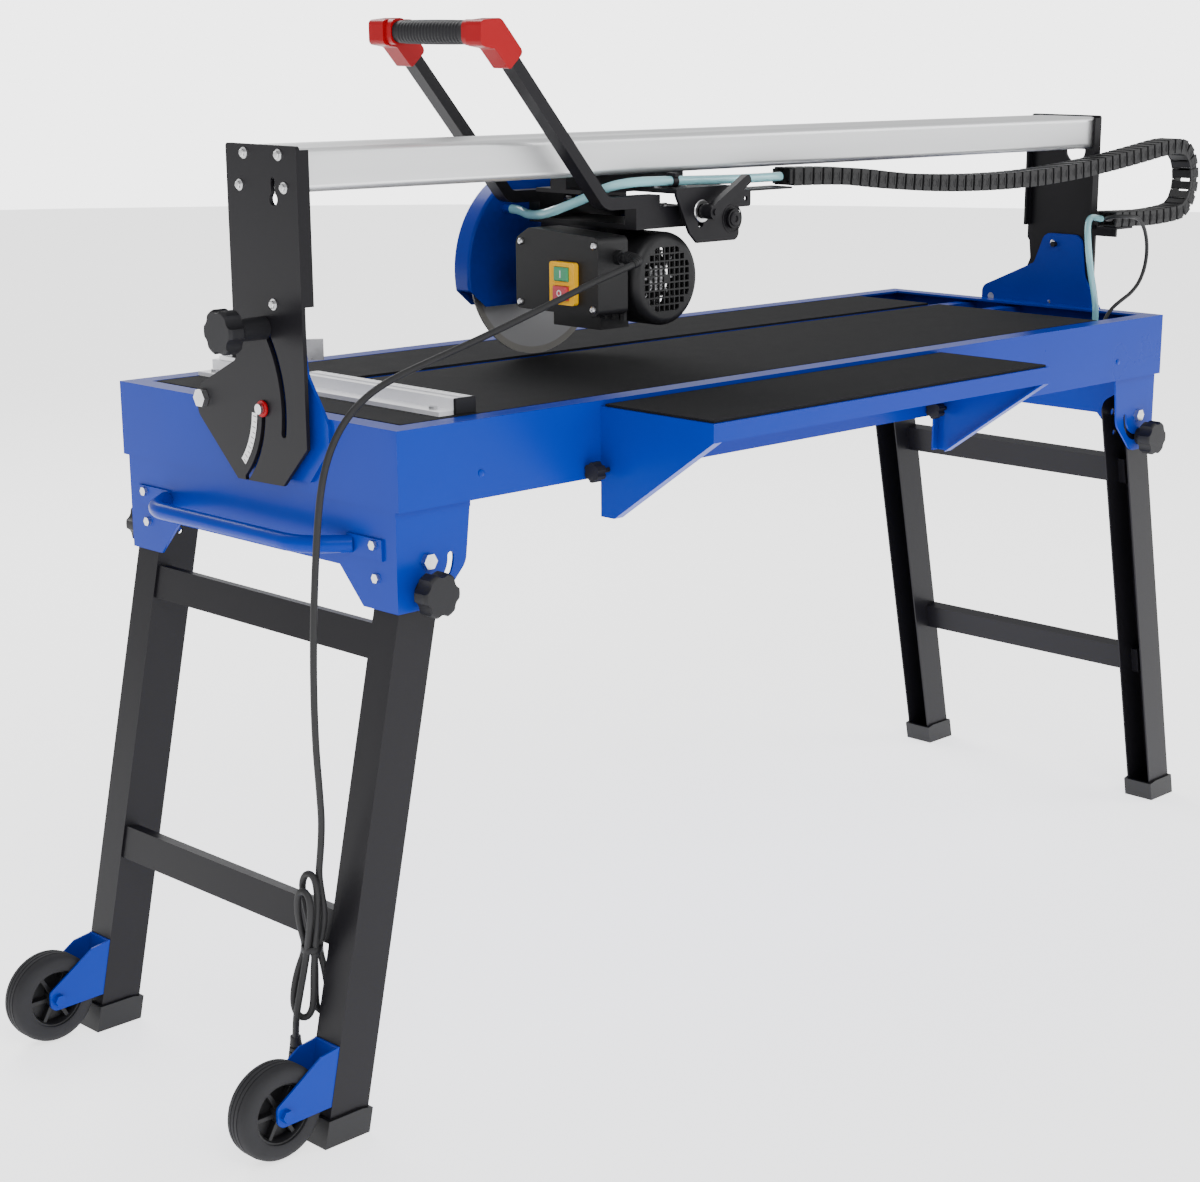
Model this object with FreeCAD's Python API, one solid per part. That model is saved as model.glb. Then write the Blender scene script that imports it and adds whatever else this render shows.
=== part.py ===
import FreeCAD, Part
import math
import os

# Rail-type wet tile saw.  X runs along the table from the wheel end, Y from the
# operator's side to the back, Z up.  While modelling, X = 0 and Y = 0 are the
# table's front left corner and Z = 0 is the floor; the last step moves the
# origin to the middle of the footprint.

V = FreeCAD.Vector
os.makedirs("parts", exist_ok=True)

# ---- table -----------------------------------------------------------------
TABLE_L = 1520.0
TABLE_W = 525.0
TABLE_H = 803.0
RIM_D = 90.0
TUB_WALL = 3.0
RIM_FLANGE = 28.0
PANEL_T = 5.0
MAT_T = 3.0
PANEL_GAP = 1.5
DECK_X0 = 30.0
DECK_X1 = TABLE_L - 132.0
MAT_INSET = 2.0
SLOT_W = 18.0
BLADE_Y = 340.0
SUPPORT_W = 22.0
SUPPORT_H = 12.0
SUPPORT_CLEAR_FRONT = 53.0
SUPPORT_CLEAR_BACK = 13.0
CUTOUT_Y0, CUTOUT_Y1, CUTOUT_D, CUTOUT_R = 165.0, 300.0, 25.0, 12.0

# ---- blade and motor ---------------------------------------------------------
BLADE_R = 115.0
BLADE_T = 2.0
BLADE_RIM_T = 2.6
BLADE_RIM_W = 8.0
BORE_R = 12.7
AXIS_X = 523.0
AXIS_Z = TABLE_H + BLADE_R + 3.0
SHAFT_R = 9.0
FIT = 0.05
FLANGE_R = 26.0
MOTOR_R = 50.0
FIN_H = 7.0
COWL_R = 58.0
COWL_Y0, COWL_Y1 = 100.0, 152.0
MOTOR_Y1 = 306.0
GUARD_R = 130.0
GUARD_W = 30.0
GUARD_T = 2.0
GUARD_CUT_Z = TABLE_H + 73.0

# ---- rail, posts and trolley ---------------------------------------------------
RAIL_Y = 197.5
RAIL_W = 110.0
RAIL_H = 48.0
RAIL_Z0 = TABLE_H + 245.0
RAIL_WALL = 3.0
RAIL_R = 8.0
RAIL_SLOT = 32.0
POST_FRONT, POST_BACK = RAIL_W / 2 + 7.5, RAIL_W / 2 + 9.5
POST_T = 5.0
LEFT_GAP = 8.0
RIGHT_GAP = 1.0
BRACKET_T = 4.0
PIVOT_Y = 326.0
PIVOT_Z = TABLE_H + 3.0
TILT_MAX = 45.0
CLAMP_R = 152.0
CLAMP_ANGLE = 143.0
SCALE_R = 114.0
SCALE_ANGLE = 180.0
TROLLEY_X0, TROLLEY_X1 = 430.0, 640.0
ROLLER_R = 14.0
ROLLER_W = 9.0
ROLLER_Y_OFF = 30.0
ROLLER_AXLE_R = 4.0
HEAD_PIVOT = (625.0, TABLE_H + 188.0)
HANGER_T = 4.0
TRAY_Z = RAIL_Z0 - 22.0
HANGER_OFF = 109.5
ARM_OFF = 86.0
ARM_W = 20.0
HANDLE_T = 15.0
ARM_Z0, ARM_Z1 = HEAD_PIVOT[1] - 7.0, HEAD_PIVOT[1] + 19.0
LOCK_R = 58.0
LOCK_ANGLE = 168.0
PLUNGE_MAX = 12.0

# ---- leg frames ----------------------------------------------------------------
LEG_SPLAY = 12.0
LEG_D = 54.0
LEG_W = 43.0
LEG_T = 2.5
LEG_PIVOT_X = 45.5
LEG_PIVOT_Z = TABLE_H - 151.0
LEG_TOP = 24.0
LEG_Y = 12.0
LEG_FOLD = 90.0 + LEG_SPLAY
LEG_CLAMP_R = 34.0
BAR_H, BAR_T = 40.0, 20.0
BAR_DROPS = (99.0, 428.0)
FOOT_H, FOOT_T = 24.0, 4.0
SKIRT_T = 3.0
SKIRT_X0 = 2.0
SKIRT_Y0 = 8.0
SKIRT_MID_Z = TABLE_H - 163.0
SKIRT_EAR_Z = TABLE_H - 205.0
WHEEL_R = 56.0
WHEEL_W = 34.0
WHEEL_X, WHEEL_Z = -173.0, 58.0
AXLE_R = 4.0

# ---- side table and fence ------------------------------------------------------
SIDE_X0, SIDE_X1 = 307.0, 959.0
SIDE_DEPTH = 180.0
SIDE_TOP = TABLE_H - 4.0
SIDE_LIP = 22.0
SIDE_GUSSET = 131.0
SIDE_T = 3.0
FENCE_X0, FENCE_X1 = 96.0, 148.0
FENCE_Y0, FENCE_Y1 = 42.0, 498.0
FENCE_H = 18.0

# ---- knobs, cord, hoses ----------------------------------------------------------
KNOB_R = 26.0
KNOB_H = 22.0
KNOB_LOBES = 6
STUD_R = 4.0
CORD_D = 8.0
HOSE_D = 12.0
CABLE_D = 6.0
CHAIN_W = 36.0
CHAIN_H = 23.0
CHAIN_Y = 103.0
CHAIN_R = 50.0
CHAIN_LOW_Z = TABLE_H + 139.0
CHAIN_END_X = 1505.0
PUMP_Y = 70.0

nodes = {}
MID_X = TABLE_L / 2
MID_Y = TABLE_W / 2


def box(x0, x1, y0, y1, z0, z1):
    return Part.makeBox(x1 - x0, y1 - y0, z1 - z0, V(x0, y0, z0))


def rod(axis, a0, a1, p, q, r):
    """Cylinder along an axis from a0 to a1; p and q are its other two coordinates."""
    if axis == "x":
        return Part.makeCylinder(r, a1 - a0, V(a0, p, q), V(1, 0, 0))
    if axis == "y":
        return Part.makeCylinder(r, a1 - a0, V(p, a0, q), V(0, 1, 0))
    return Part.makeCylinder(r, a1 - a0, V(p, q, a0), V(0, 0, 1))


def place(axis, a, p, q):
    """Point with coordinate a on the axis and p, q on the other two."""
    return {"x": V(a, p, q), "y": V(p, a, q), "z": V(p, q, a)}[axis]


def outline(axis, a, points):
    """Closed face from (p, q, corner radius) points in the plane axis = a."""
    count = len(points)
    corners = [place(axis, a, c[0], c[1]) for c in points]
    edges = []
    ends = []
    for i, c in enumerate(points):
        here, before, after = corners[i], corners[i - 1], corners[(i + 1) % count]
        u = (before - here).normalize()
        w = (after - here).normalize()
        radius = c[2] if len(c) > 2 else 0.0
        if radius <= 0:
            ends.append((here, here, None))
            continue
        half = math.acos(max(-1.0, min(1.0, u.dot(w)))) / 2
        reach = radius / math.tan(half)
        bisector = (u + w).normalize()
        top = here + bisector * (radius / math.sin(half) - radius)
        ends.append((here + u * reach, here + w * reach, top))
    for i in range(count):
        start, stop, top = ends[i]
        if top is not None:
            edges.append(Part.Arc(start, top, stop).toShape())
        following = ends[(i + 1) % count][0]
        if (following - stop).Length > 1e-6:
            edges.append(Part.LineSegment(stop, following).toShape())
    return Part.Face(Part.Wire(edges))


def slab(axis, a0, a1, points):
    """Flat plate with an outline of (p, q, corner radius) points."""
    return outline(axis, a0, points).extrude(place(axis, a1, 0, 0) - place(axis, a0, 0, 0))


def arc_slot(axis, a0, a1, centre, r, width, start, stop):
    """Curved slot with round ends, in degrees about the centre."""
    def at(radius, angle):
        rad = math.radians(angle)
        return place(axis, a0, centre[0] + radius * math.cos(rad), centre[1] + radius * math.sin(rad))
    inner, outer, mid = r - width / 2, r + width / 2, (start + stop) / 2
    cap = math.degrees(width / 2 / r)
    edges = [Part.Arc(at(inner, start), at(inner, mid), at(inner, stop)).toShape(),
             Part.Arc(at(inner, stop), at(r, stop + cap), at(outer, stop)).toShape(),
             Part.Arc(at(outer, stop), at(outer, mid), at(outer, start)).toShape(),
             Part.Arc(at(outer, start), at(r, start - cap), at(inner, start)).toShape()]
    face = Part.Face(Part.Wire(edges))
    return face.extrude(place(axis, a1, 0, 0) - place(axis, a0, 0, 0))


def fuse(shapes):
    joined = shapes[0]
    for piece in shapes[1:]:
        joined = joined.fuse(piece)
    return joined.removeSplitter()


def mirror_x(shape):
    return shape.mirror(V(MID_X, 0, 0), V(1, 0, 0))


def turned(shape, centre, axis, degrees):
    copy = shape.copy()
    copy.rotate(centre, axis, degrees)
    return copy


def add(name, shape):
    nodes[name] = shape


def hex_bolt(axis, seat, tip, p, q, r, head=1):
    """Hexagon bolt; the head sits on the seat and points away from the tip."""
    side = 1.0 if seat > tip else -1.0
    head_h = 1.3 * r
    shank = rod(axis, min(seat, tip), max(seat, tip), p, q, r)
    corners = [(p + 1.9 * r * math.cos(math.radians(60 * k)), q + 1.9 * r * math.sin(math.radians(60 * k)))
               for k in range(6)]
    return fuse([shank, slab(axis, seat, seat + side * head_h, corners)])


def star_knob(axis, seat, side, p, q, tip, stem=16.0):
    """Lobed knob on a stud; its hub starts at the seat and the stud ends at the tip."""
    back = seat + side * stem
    front = back + side * KNOB_H
    lo, hi = min(back, front), max(back, front)
    head = rod(axis, lo, hi, p, q, KNOB_R)
    edge_ring = [e for e in head.Edges if abs(e.Length - 2 * math.pi * KNOB_R) < 0.01]
    head = head.makeFillet(4.0, edge_ring)
    for k in range(KNOB_LOBES):
        angle = math.radians(360.0 / KNOB_LOBES * (k + 0.5))
        reach = KNOB_R + 6.0
        cutter = rod(axis, lo - 1, hi + 1, p + reach * math.cos(angle), q + reach * math.sin(angle), 11.0)
        head = head.cut(cutter)
    hub = rod(axis, min(seat, back), max(seat, back), p, q, 0.5 * KNOB_R)
    stud = rod(axis, min(tip, seat), max(tip, seat), p, q, STUD_R)
    return fuse([head, hub, stud])


def cord_path(points, share=0.45):
    """Straight runs joined by tangent arcs; returns the wire, its length and the radii."""
    pts = [V(*p) for p in points]
    edges, radii, length = [], [], 0.0
    last = pts[0]
    for i in range(1, len(pts) - 1):
        u = pts[i - 1] - pts[i]
        w = pts[i + 1] - pts[i]
        reach = share * min(u.Length, w.Length)
        u.normalize()
        w.normalize()
        half = math.acos(max(-1.0, min(1.0, u.dot(w)))) / 2
        radius = reach * math.tan(half)
        start, stop = pts[i] + u * reach, pts[i] + w * reach
        bisector = (u + w).normalize()
        top = pts[i] + bisector * (radius / math.sin(half) - radius)
        edges.append(Part.LineSegment(last, start).toShape())
        arc = Part.Arc(start, top, stop).toShape()
        edges.append(arc)
        radii.append(radius)
        last = stop
    edges.append(Part.LineSegment(last, pts[-1]).toShape())
    wire = Part.Wire(edges)
    return wire, wire.Length, radii


def cord_tube(name, points, diameter):
    wire, length, radii = cord_path(points)
    direction = V(*points[1]) - V(*points[0])
    ring = Part.Wire([Part.makeCircle(diameter / 2, V(*points[0]), direction)])
    tube = wire.makePipeShell([ring], True, False)
    ratio = tube.Volume / (math.pi * diameter ** 2 / 4 * length)
    print(name, "length %.0f" % length, "radii", ["%.0f" % r for r in radii], "volume ratio %.3f" % ratio)
    return tube


def table():
    z0 = TABLE_H - RIM_D
    inner = TUB_WALL
    floor = z0 + TUB_WALL
    tub = box(0, TABLE_L, 0, TABLE_W, z0, TABLE_H)
    tub = tub.cut(box(inner, TABLE_L - inner, inner, TABLE_W - inner, floor, TABLE_H - TUB_WALL))
    tub = tub.cut(box(RIM_FLANGE, TABLE_L - RIM_FLANGE, RIM_FLANGE, TABLE_W - RIM_FLANGE, floor, TABLE_H + 1))
    seat = TABLE_H - MAT_T - PANEL_T
    ledge = RIM_FLANGE + 12
    tub = tub.fuse(box(inner, DECK_X1, inner, ledge, seat - TUB_WALL, seat))
    tub = tub.fuse(box(inner, DECK_X1, TABLE_W - ledge, TABLE_W - inner, seat - TUB_WALL, seat))
    front_bar = BLADE_Y - SUPPORT_CLEAR_FRONT - SUPPORT_W
    back_bar = BLADE_Y + SUPPORT_CLEAR_BACK
    for y in (front_bar, back_bar):
        tub = tub.fuse(box(inner, TABLE_L - inner, y, y + SUPPORT_W, seat - SUPPORT_H, seat))
    notch = slab("x", -1, RIM_FLANGE + 1, [
        (CUTOUT_Y0, TABLE_H + 1), (CUTOUT_Y0, TABLE_H - CUTOUT_D, CUTOUT_R),
        (CUTOUT_Y1, TABLE_H - CUTOUT_D, CUTOUT_R), (CUTOUT_Y1, TABLE_H + 1)])
    tub = tub.cut(notch)
    for x in (0 - 1, TABLE_L - inner - 1):
        tub = tub.cut(rod("x", x, x + inner + 2, PIVOT_Y, PIVOT_Z, 7.0))
    add("table_tub", tub.removeSplitter())

    slot_y0, slot_y1 = BLADE_Y - SLOT_W / 2, BLADE_Y + SLOT_W / 2
    y_front, y_back = RIM_FLANGE + PANEL_GAP, TABLE_W - RIM_FLANGE - PANEL_GAP
    panels = Part.makeCompound([box(DECK_X0, DECK_X1, y_front, slot_y0, seat, seat + PANEL_T),
                                box(DECK_X0, DECK_X1, slot_y1, y_back, seat, seat + PANEL_T)])
    add("deck_panels", panels)
    mat_z = seat + PANEL_T
    mats = Part.makeCompound([
        box(DECK_X0 + MAT_INSET, DECK_X1 - MAT_INSET, y_front + MAT_INSET, slot_y0 - MAT_INSET, mat_z, TABLE_H),
        box(DECK_X0 + MAT_INSET, DECK_X1 - MAT_INSET, slot_y1 + MAT_INSET, y_back - MAT_INSET, mat_z, TABLE_H)])
    add("deck_mats", mats)

    pump_h, outlet_z = 42.0, TABLE_H - 29.0
    pump_x0, pump_x1 = TABLE_L - 108, TABLE_L - 42
    pump = box(pump_x0, pump_x1, PUMP_Y - 30, PUMP_Y + 30, floor, floor + pump_h)
    pump = pump.makeFillet(5.0, [e for e in pump.Edges if abs(e.Length - pump_h) < 0.01])
    for spot, radius in (((pump_x0 + 26, PUMP_Y), 5.0), ((pump_x0 + 44, PUMP_Y), 4.0)):
        pump = pump.fuse(rod("z", floor + pump_h, outlet_z, spot[0], spot[1], radius))
    add("water_pump", pump.removeSplitter())


def leg_line(drop, offset):
    """Point of the left leg at a distance below its pivot and an offset towards +X."""
    a = math.radians(LEG_SPLAY)
    x = LEG_PIVOT_X - drop * math.sin(a) + offset * math.cos(a)
    z = LEG_PIVOT_Z - drop * math.cos(a) - offset * math.sin(a)
    return x, z


def on_splay(shape):
    """Turn a piece modelled upright below the leg pivot to the splayed position."""
    return turned(shape, V(LEG_PIVOT_X, 0, LEG_PIVOT_Z), V(0, 1, 0), LEG_SPLAY)


def skirt():
    x0, x1 = SKIRT_X0, SKIRT_X0 + SKIRT_T
    y0, y1 = SKIRT_Y0, TABLE_W - SKIRT_Y0
    top = TABLE_H - RIM_D
    end = slab("x", x0, x1, [
        (y0, top), (y0, SKIRT_EAR_Z), (y0 + 60, SKIRT_EAR_Z), (y0 + 100, SKIRT_MID_Z),
        (y1 - 100, SKIRT_MID_Z), (y1 - 60, SKIRT_EAR_Z), (y1, SKIRT_EAR_Z), (y1, top)])
    pieces = [end]
    for a, b in ((y0, y0 + SKIRT_T), (y1 - SKIRT_T, y1)):
        ear = slab("y", a, b, [
            (x0, top), (x0, SKIRT_EAR_Z), (x0 + 58, SKIRT_EAR_Z, 24.0), (x0 + 100, SKIRT_MID_Z + 2, 24.0),
            (x0 + 108, top)])
        lip = box(x0, x0 + 108, min(a, b), max(a, b), top - 8, top)
        pieces.append(ear.fuse(lip))
    body = fuse(pieces)
    first = 270.0 - LEG_SPLAY
    slot = arc_slot("y", y0 - 1, y1 + 1, (LEG_PIVOT_X, LEG_PIVOT_Z), LEG_CLAMP_R, 2 * STUD_R + 1.0,
                    first - 2.0, first + LEG_FOLD + 2.0)
    body = body.cut(slot)
    body = body.cut(rod("y", y0 - 1, y1 + 1, LEG_PIVOT_X, LEG_PIVOT_Z, 5.0 + FIT))
    return body


def leg(y0):
    """Channel leg: web at the outer side, open towards the table's middle."""
    foot_drop = LEG_PIVOT_Z / math.cos(math.radians(LEG_SPLAY)) + 30
    x0, x1 = LEG_PIVOT_X - LEG_D / 2, LEG_PIVOT_X + LEG_D / 2
    z0, z1 = LEG_PIVOT_Z - foot_drop, LEG_PIVOT_Z + LEG_TOP
    outer = slab("y", y0, y0 + LEG_W, [(x0, z0), (x1, z0), (x1, z1, 18.0), (x0, z1, 18.0)])
    channel = outer.cut(box(x0 + LEG_T, x1 + 1, y0 + LEG_T, y0 + LEG_W - LEG_T, z0 - 1, z1 + 1))
    inner_y0 = y0 + LEG_W - LEG_T if y0 < MID_Y else y0
    for drop in BAR_DROPS:
        z = LEG_PIVOT_Z - drop
        channel = channel.cut(box(x0 + LEG_T, x0 + LEG_T + BAR_T, inner_y0 - 1, inner_y0 + LEG_T + 1,
                                  z - BAR_H / 2, z + BAR_H / 2))
    channel = on_splay(channel)
    channel = channel.cut(box(-400, 400, y0 - 1, y0 + LEG_W + 1, -200, FOOT_T))
    channel = channel.cut(rod("y", y0 - 1, y0 + LEG_W + 1, LEG_PIVOT_X, LEG_PIVOT_Z, 5.0 + FIT))
    x, z = leg_line(LEG_CLAMP_R, 0)
    return channel.cut(rod("y", y0 - 1, y0 + LEG_W + 1, x, z, STUD_R + FIT))


def leg_bars():
    y0 = LEG_Y + LEG_W - LEG_T - 12
    y1 = TABLE_W - y0
    x0 = LEG_PIVOT_X - LEG_D / 2 + LEG_T
    bars = []
    for drop in BAR_DROPS:
        z = LEG_PIVOT_Z - drop
        bars.append(on_splay(box(x0, x0 + BAR_T, y0, y1, z - BAR_H / 2, z + BAR_H / 2)))
    return Part.makeCompound(bars)


def foot(y0):
    """Rubber cap around the lower end of a leg."""
    half = LEG_D / 2 + FOOT_T
    low = LEG_PIVOT_Z / math.cos(math.radians(LEG_SPLAY))
    block = on_splay(box(LEG_PIVOT_X - half, LEG_PIVOT_X + half, y0 - FOOT_T, y0 + LEG_W + FOOT_T,
                         LEG_PIVOT_Z - low - 30, LEG_PIVOT_Z - low + FOOT_H + 12))
    block = block.cut(box(-400, 400, y0 - 20, y0 + LEG_W + 20, -200, 0))
    block = block.cut(box(-400, 400, y0 - 20, y0 + LEG_W + 20, FOOT_H + 8, 200))
    core = on_splay(box(LEG_PIVOT_X - LEG_D / 2, LEG_PIVOT_X + LEG_D / 2, y0, y0 + LEG_W,
                        LEG_PIVOT_Z - low - 60, LEG_PIVOT_Z))
    return block.cut(core.cut(box(-400, 400, y0 - 20, y0 + LEG_W + 20, -200, FOOT_T)))


def wheel(y_mid):
    half = WHEEL_W / 2
    tyre = rod("y", y_mid - half, y_mid + half, WHEEL_X, WHEEL_Z, WHEEL_R)
    tyre = tyre.makeFillet(7.0, [e for e in tyre.Edges if abs(e.Length - 2 * math.pi * WHEEL_R) < 0.01])
    for side in (-1, 1):
        a, b = sorted((y_mid + side * (half - 9), y_mid + side * (half + 1)))
        dish = rod("y", a, b, WHEEL_X, WHEEL_Z, 34.0).cut(rod("y", a, b, WHEEL_X, WHEEL_Z, 11.0))
        tyre = tyre.cut(dish)
    for k in range(6):
        start = 60.0 * k + 14
        tyre = tyre.cut(arc_slot("y", y_mid - half, y_mid + half, (WHEEL_X, WHEEL_Z), 23.0, 14.0,
                                 start + 8, start + 24))
    return tyre.cut(rod("y", y_mid - half - 1, y_mid + half + 1, WHEEL_X, WHEEL_Z, AXLE_R + FIT))


def wheel_fork(y_mid):
    gap = WHEEL_W / 2 + 1.5
    t = 2.5
    xa, za = leg_line(LEG_PIVOT_Z / math.cos(math.radians(LEG_SPLAY)) - 42, -LEG_D / 2)
    xb, zb = leg_line(LEG_PIVOT_Z / math.cos(math.radians(LEG_SPLAY)) - 112, -LEG_D / 2)
    cheek_outline = [(xa, za), (xb, zb), (xb - 26, zb - 4, 6.0), (WHEEL_X - 12, WHEEL_Z + 12, 8.0),
                     (WHEEL_X - 12, WHEEL_Z - 13, 10.0)]
    fork = [slab("y", y_mid - gap - t, y_mid - gap, cheek_outline),
            slab("y", y_mid + gap, y_mid + gap + t, cheek_outline)]
    back = slab("y", y_mid - gap - t, y_mid + gap + t, [
        (xa, za), (xb, zb), (xb - t, zb + 0.5), (xa - t, za + 0.5)])
    fork.append(back)
    body = fuse(fork)
    bolt = hex_bolt("y", y_mid - gap - t, y_mid + gap + t + 4, WHEEL_X, WHEEL_Z, AXLE_R)
    hole = rod("y", y_mid - gap - t - 1, y_mid + gap + t + 1, WHEEL_X, WHEEL_Z, AXLE_R)
    return [body.cut(hole), bolt]


def left_and_right_ends():
    one = skirt()
    add("leg_skirt_left", one)
    add("leg_skirt_right", mirror_x(one))
    y_front, y_back = LEG_Y, TABLE_W - LEG_Y - LEG_W
    front, back, bars = leg(y_front), leg(y_back), leg_bars()
    feet = Part.makeCompound([foot(y_front), foot(y_back)])
    add("left_leg_front", front)
    add("left_leg_back", back)
    add("left_leg_bars", bars)
    add("left_feet", feet)
    add("right_leg_front", mirror_x(front))
    add("right_leg_back", mirror_x(back))
    add("right_leg_bars", mirror_x(bars))
    add("right_feet", mirror_x(feet))
    mids = (y_front + LEG_W / 2, y_back + LEG_W / 2)
    add("wheel_forks", Part.makeCompound(wheel_fork(mids[0]) + wheel_fork(mids[1])))
    add("wheel_front", wheel(mids[0]))
    add("wheel_back", wheel(mids[1]))

    x, z = leg_line(LEG_CLAMP_R, 0)
    seat_front, seat_back = SKIRT_Y0, TABLE_W - SKIRT_Y0
    reach = LEG_W * 0.5
    knob_front = star_knob("y", seat_front - 0.3, -1, x, z, seat_front + reach, 12.0)
    knob_back = star_knob("y", seat_back + 0.3, 1, x, z, seat_back - reach, 12.0)
    add("leg_knob_left_front", knob_front)
    add("leg_knob_left_back", knob_back)
    add("leg_knob_right_front", mirror_x(knob_front))
    add("leg_knob_right_back", mirror_x(knob_back))

    tube_r = 10.0
    z = TABLE_H - RIM_D - 46
    route = [(SKIRT_X0, 84, z), (-44, 122, z), (-44, TABLE_W - 122, z), (SKIRT_X0, TABLE_W - 84, z)]
    wire = cord_path(route)[0]
    ring = Part.Wire([Part.makeCircle(tube_r, V(*route[0]), V(*route[1]) - V(*route[0]))])
    tube = wire.makePipeShell([ring], True, False)
    tube = tube.cut(box(SKIRT_X0, 60, 0, TABLE_W, z - 30, z + 30))
    plates = []
    for y in (30.0, TABLE_W - 30.0 - 62.0):
        plates.append(box(SKIRT_X0 - 3, SKIRT_X0, y, y + 62, z - 12, z + 12))
    add("carry_handle", fuse([tube] + plates))


def tilt_bracket_outline():
    y, z = PIVOT_Y, PIVOT_Z
    return [(y + 18, z - 18, 16.0), (y + 18, z + 16, 14.0), (y - 82, z + 60, 8.0), (y - 101, z + 108, 16.0),
            (y - 170, z + 108, 16.0), (y - 178, z + 44, 30.0), (y - 214, z - 10, 8.0), (y - 214, z - 36),
            (y - 178, z - 78), (y - 80, z - 78)]


def post_outline():
    y0, y1, top = RAIL_Y - POST_FRONT, RAIL_Y + POST_BACK, RAIL_Z0 + RAIL_H + 2
    y, z = PIVOT_Y, PIVOT_Z
    return [(y0, top, 4.0), (y0, z - 38), (y0 + 46, z - 85), (y - 60, z - 87), (y + 15, z - 16, 16.0),
            (y + 6, z + 16, 8.0), (y1, z + 50, 10.0), (y1 - 7, z + 66, 10.0), (y1 - 4, z + 94), (y1, z + 99),
            (y1, top, 4.0)]


def clamp_centre(r, degrees):
    a = math.radians(degrees)
    return PIVOT_Y + r * math.cos(a), PIVOT_Z + r * math.sin(a)


def bridge():
    clamp = clamp_centre(CLAMP_R, CLAMP_ANGLE)
    pointer = clamp_centre(SCALE_R, SCALE_ANGLE)
    spans = {"left": (-BRACKET_T, 0.0, -BRACKET_T - LEFT_GAP - POST_T, -BRACKET_T - LEFT_GAP),
             "right": (TABLE_L, TABLE_L + BRACKET_T, TABLE_L + BRACKET_T + RIGHT_GAP,
                       TABLE_L + BRACKET_T + RIGHT_GAP + POST_T)}
    for side, (b0, b1, p0, p1) in spans.items():
        plate = slab("x", b0, b1, tilt_bracket_outline())
        outer = -1 if side == "left" else 1
        if side == "left":
            for spot in (clamp, (PIVOT_Y, PIVOT_Z)):
                plate = plate.fuse(rod("x", p1 + 0.3, b0, spot[0], spot[1], 9.0))
        bore = 6.0 + FIT
        low, high = min(b0, p0) - 20, max(b1, p1) + 20
        plate = plate.cut(rod("x", low, high, PIVOT_Y, PIVOT_Z, bore))
        plate = plate.cut(rod("x", low, high, clamp[0], clamp[1], STUD_R + FIT))
        plate = plate.cut(rod("x", low, high, pointer[0], pointer[1], 3.0))
        add("tilt_bracket_" + side, plate)

        post = slab("x", p0, p1, post_outline())
        post = post.cut(rod("x", p0 - 1, p1 + 1, PIVOT_Y, PIVOT_Z, bore))
        post = post.cut(arc_slot("x", p0 - 1, p1 + 1, (PIVOT_Y, PIVOT_Z), CLAMP_R, 2 * STUD_R + 1.0,
                                 CLAMP_ANGLE - 1.5, CLAMP_ANGLE + TILT_MAX + 1.5))
        post = post.cut(arc_slot("x", p0 - 1, p1 + 1, (PIVOT_Y, PIVOT_Z), SCALE_R, 7.0,
                                 SCALE_ANGLE - 2.0, SCALE_ANGLE + TILT_MAX + 2.0))
        lip_a, lip_b = (p1, p1 + 12) if side == "left" else (p0 - 12, p0)
        edge0, edge1 = RAIL_Y - POST_FRONT, RAIL_Y + POST_BACK
        for y0, y1 in ((edge0, edge0 + 4), (edge1 - 4, edge1)):
            post = post.fuse(box(lip_a, lip_b, y0, y1, PIVOT_Z + 119, RAIL_Z0 + RAIL_H - 2))
        if side == "left":
            hook_z = RAIL_Z0 - 8
            post = post.cut(fuse([rod("x", p0 - 1, p1 + 1, 178, hook_z, 7.0),
                                  box(p0 - 1, p1 + 1, 174.5, 181.5, hook_z, hook_z + 20),
                                  rod("x", p0 - 1, p1 + 1, 178, hook_z + 20, 3.5)]))
        else:
            post = post.cut(rod("x", p0 - 1, p1 + 1, 178, RAIL_Z0 - 4, 18.0).common(
                box(p0 - 1, p1 + 1, 100, 300, RAIL_Z0 - 48, RAIL_Z0 - 2)))
            seat_z = CHAIN_LOW_Z - CHAIN_H / 2
            arm = box(p0, p1, 97, edge0, seat_z - 16, seat_z - 3)
            tray = box(p0 - 16, p1 + 24, CHAIN_Y - CHAIN_W / 2, CHAIN_Y + CHAIN_W / 2, seat_z - 3, seat_z)
            tray = tray.fuse(box(p0, p1, CHAIN_Y, edge0, seat_z - 3, seat_z))
            post = fuse([post, arm, tray])
        add("post_plate_" + side, post.removeSplitter())
        seat = p0 - 0.3 if side == "left" else p1 + 0.3
        inner = 0.0 if side == "left" else TABLE_L
        add("tilt_knob_" + side, star_knob("x", seat, outer, clamp[0], clamp[1], inner - outer * 8, 42.0))

    x0, x1 = spans["left"][3], spans["right"][2]
    y0, y1 = RAIL_Y - RAIL_W / 2, RAIL_Y + RAIL_W / 2
    z1 = RAIL_Z0 + RAIL_H
    shell = slab("x", x0, x1, [(y0, RAIL_Z0, RAIL_R), (y1, RAIL_Z0, RAIL_R), (y1, z1, RAIL_R), (y0, z1, RAIL_R)])
    w, r = RAIL_WALL, RAIL_R - RAIL_WALL
    shell = shell.cut(slab("x", x0 - 1, x1 + 1, [(y0 + w, RAIL_Z0 + w, r), (y1 - w, RAIL_Z0 + w, r),
                                                 (y1 - w, z1 - w, r), (y0 + w, z1 - w, r)]))
    half = RAIL_SLOT / 2
    shell = shell.cut(box(x0 - 1, x1 + 1, RAIL_Y - half, RAIL_Y + half, RAIL_Z0 - 1, RAIL_Z0 + w + 1))
    add("rail", shell)


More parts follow.
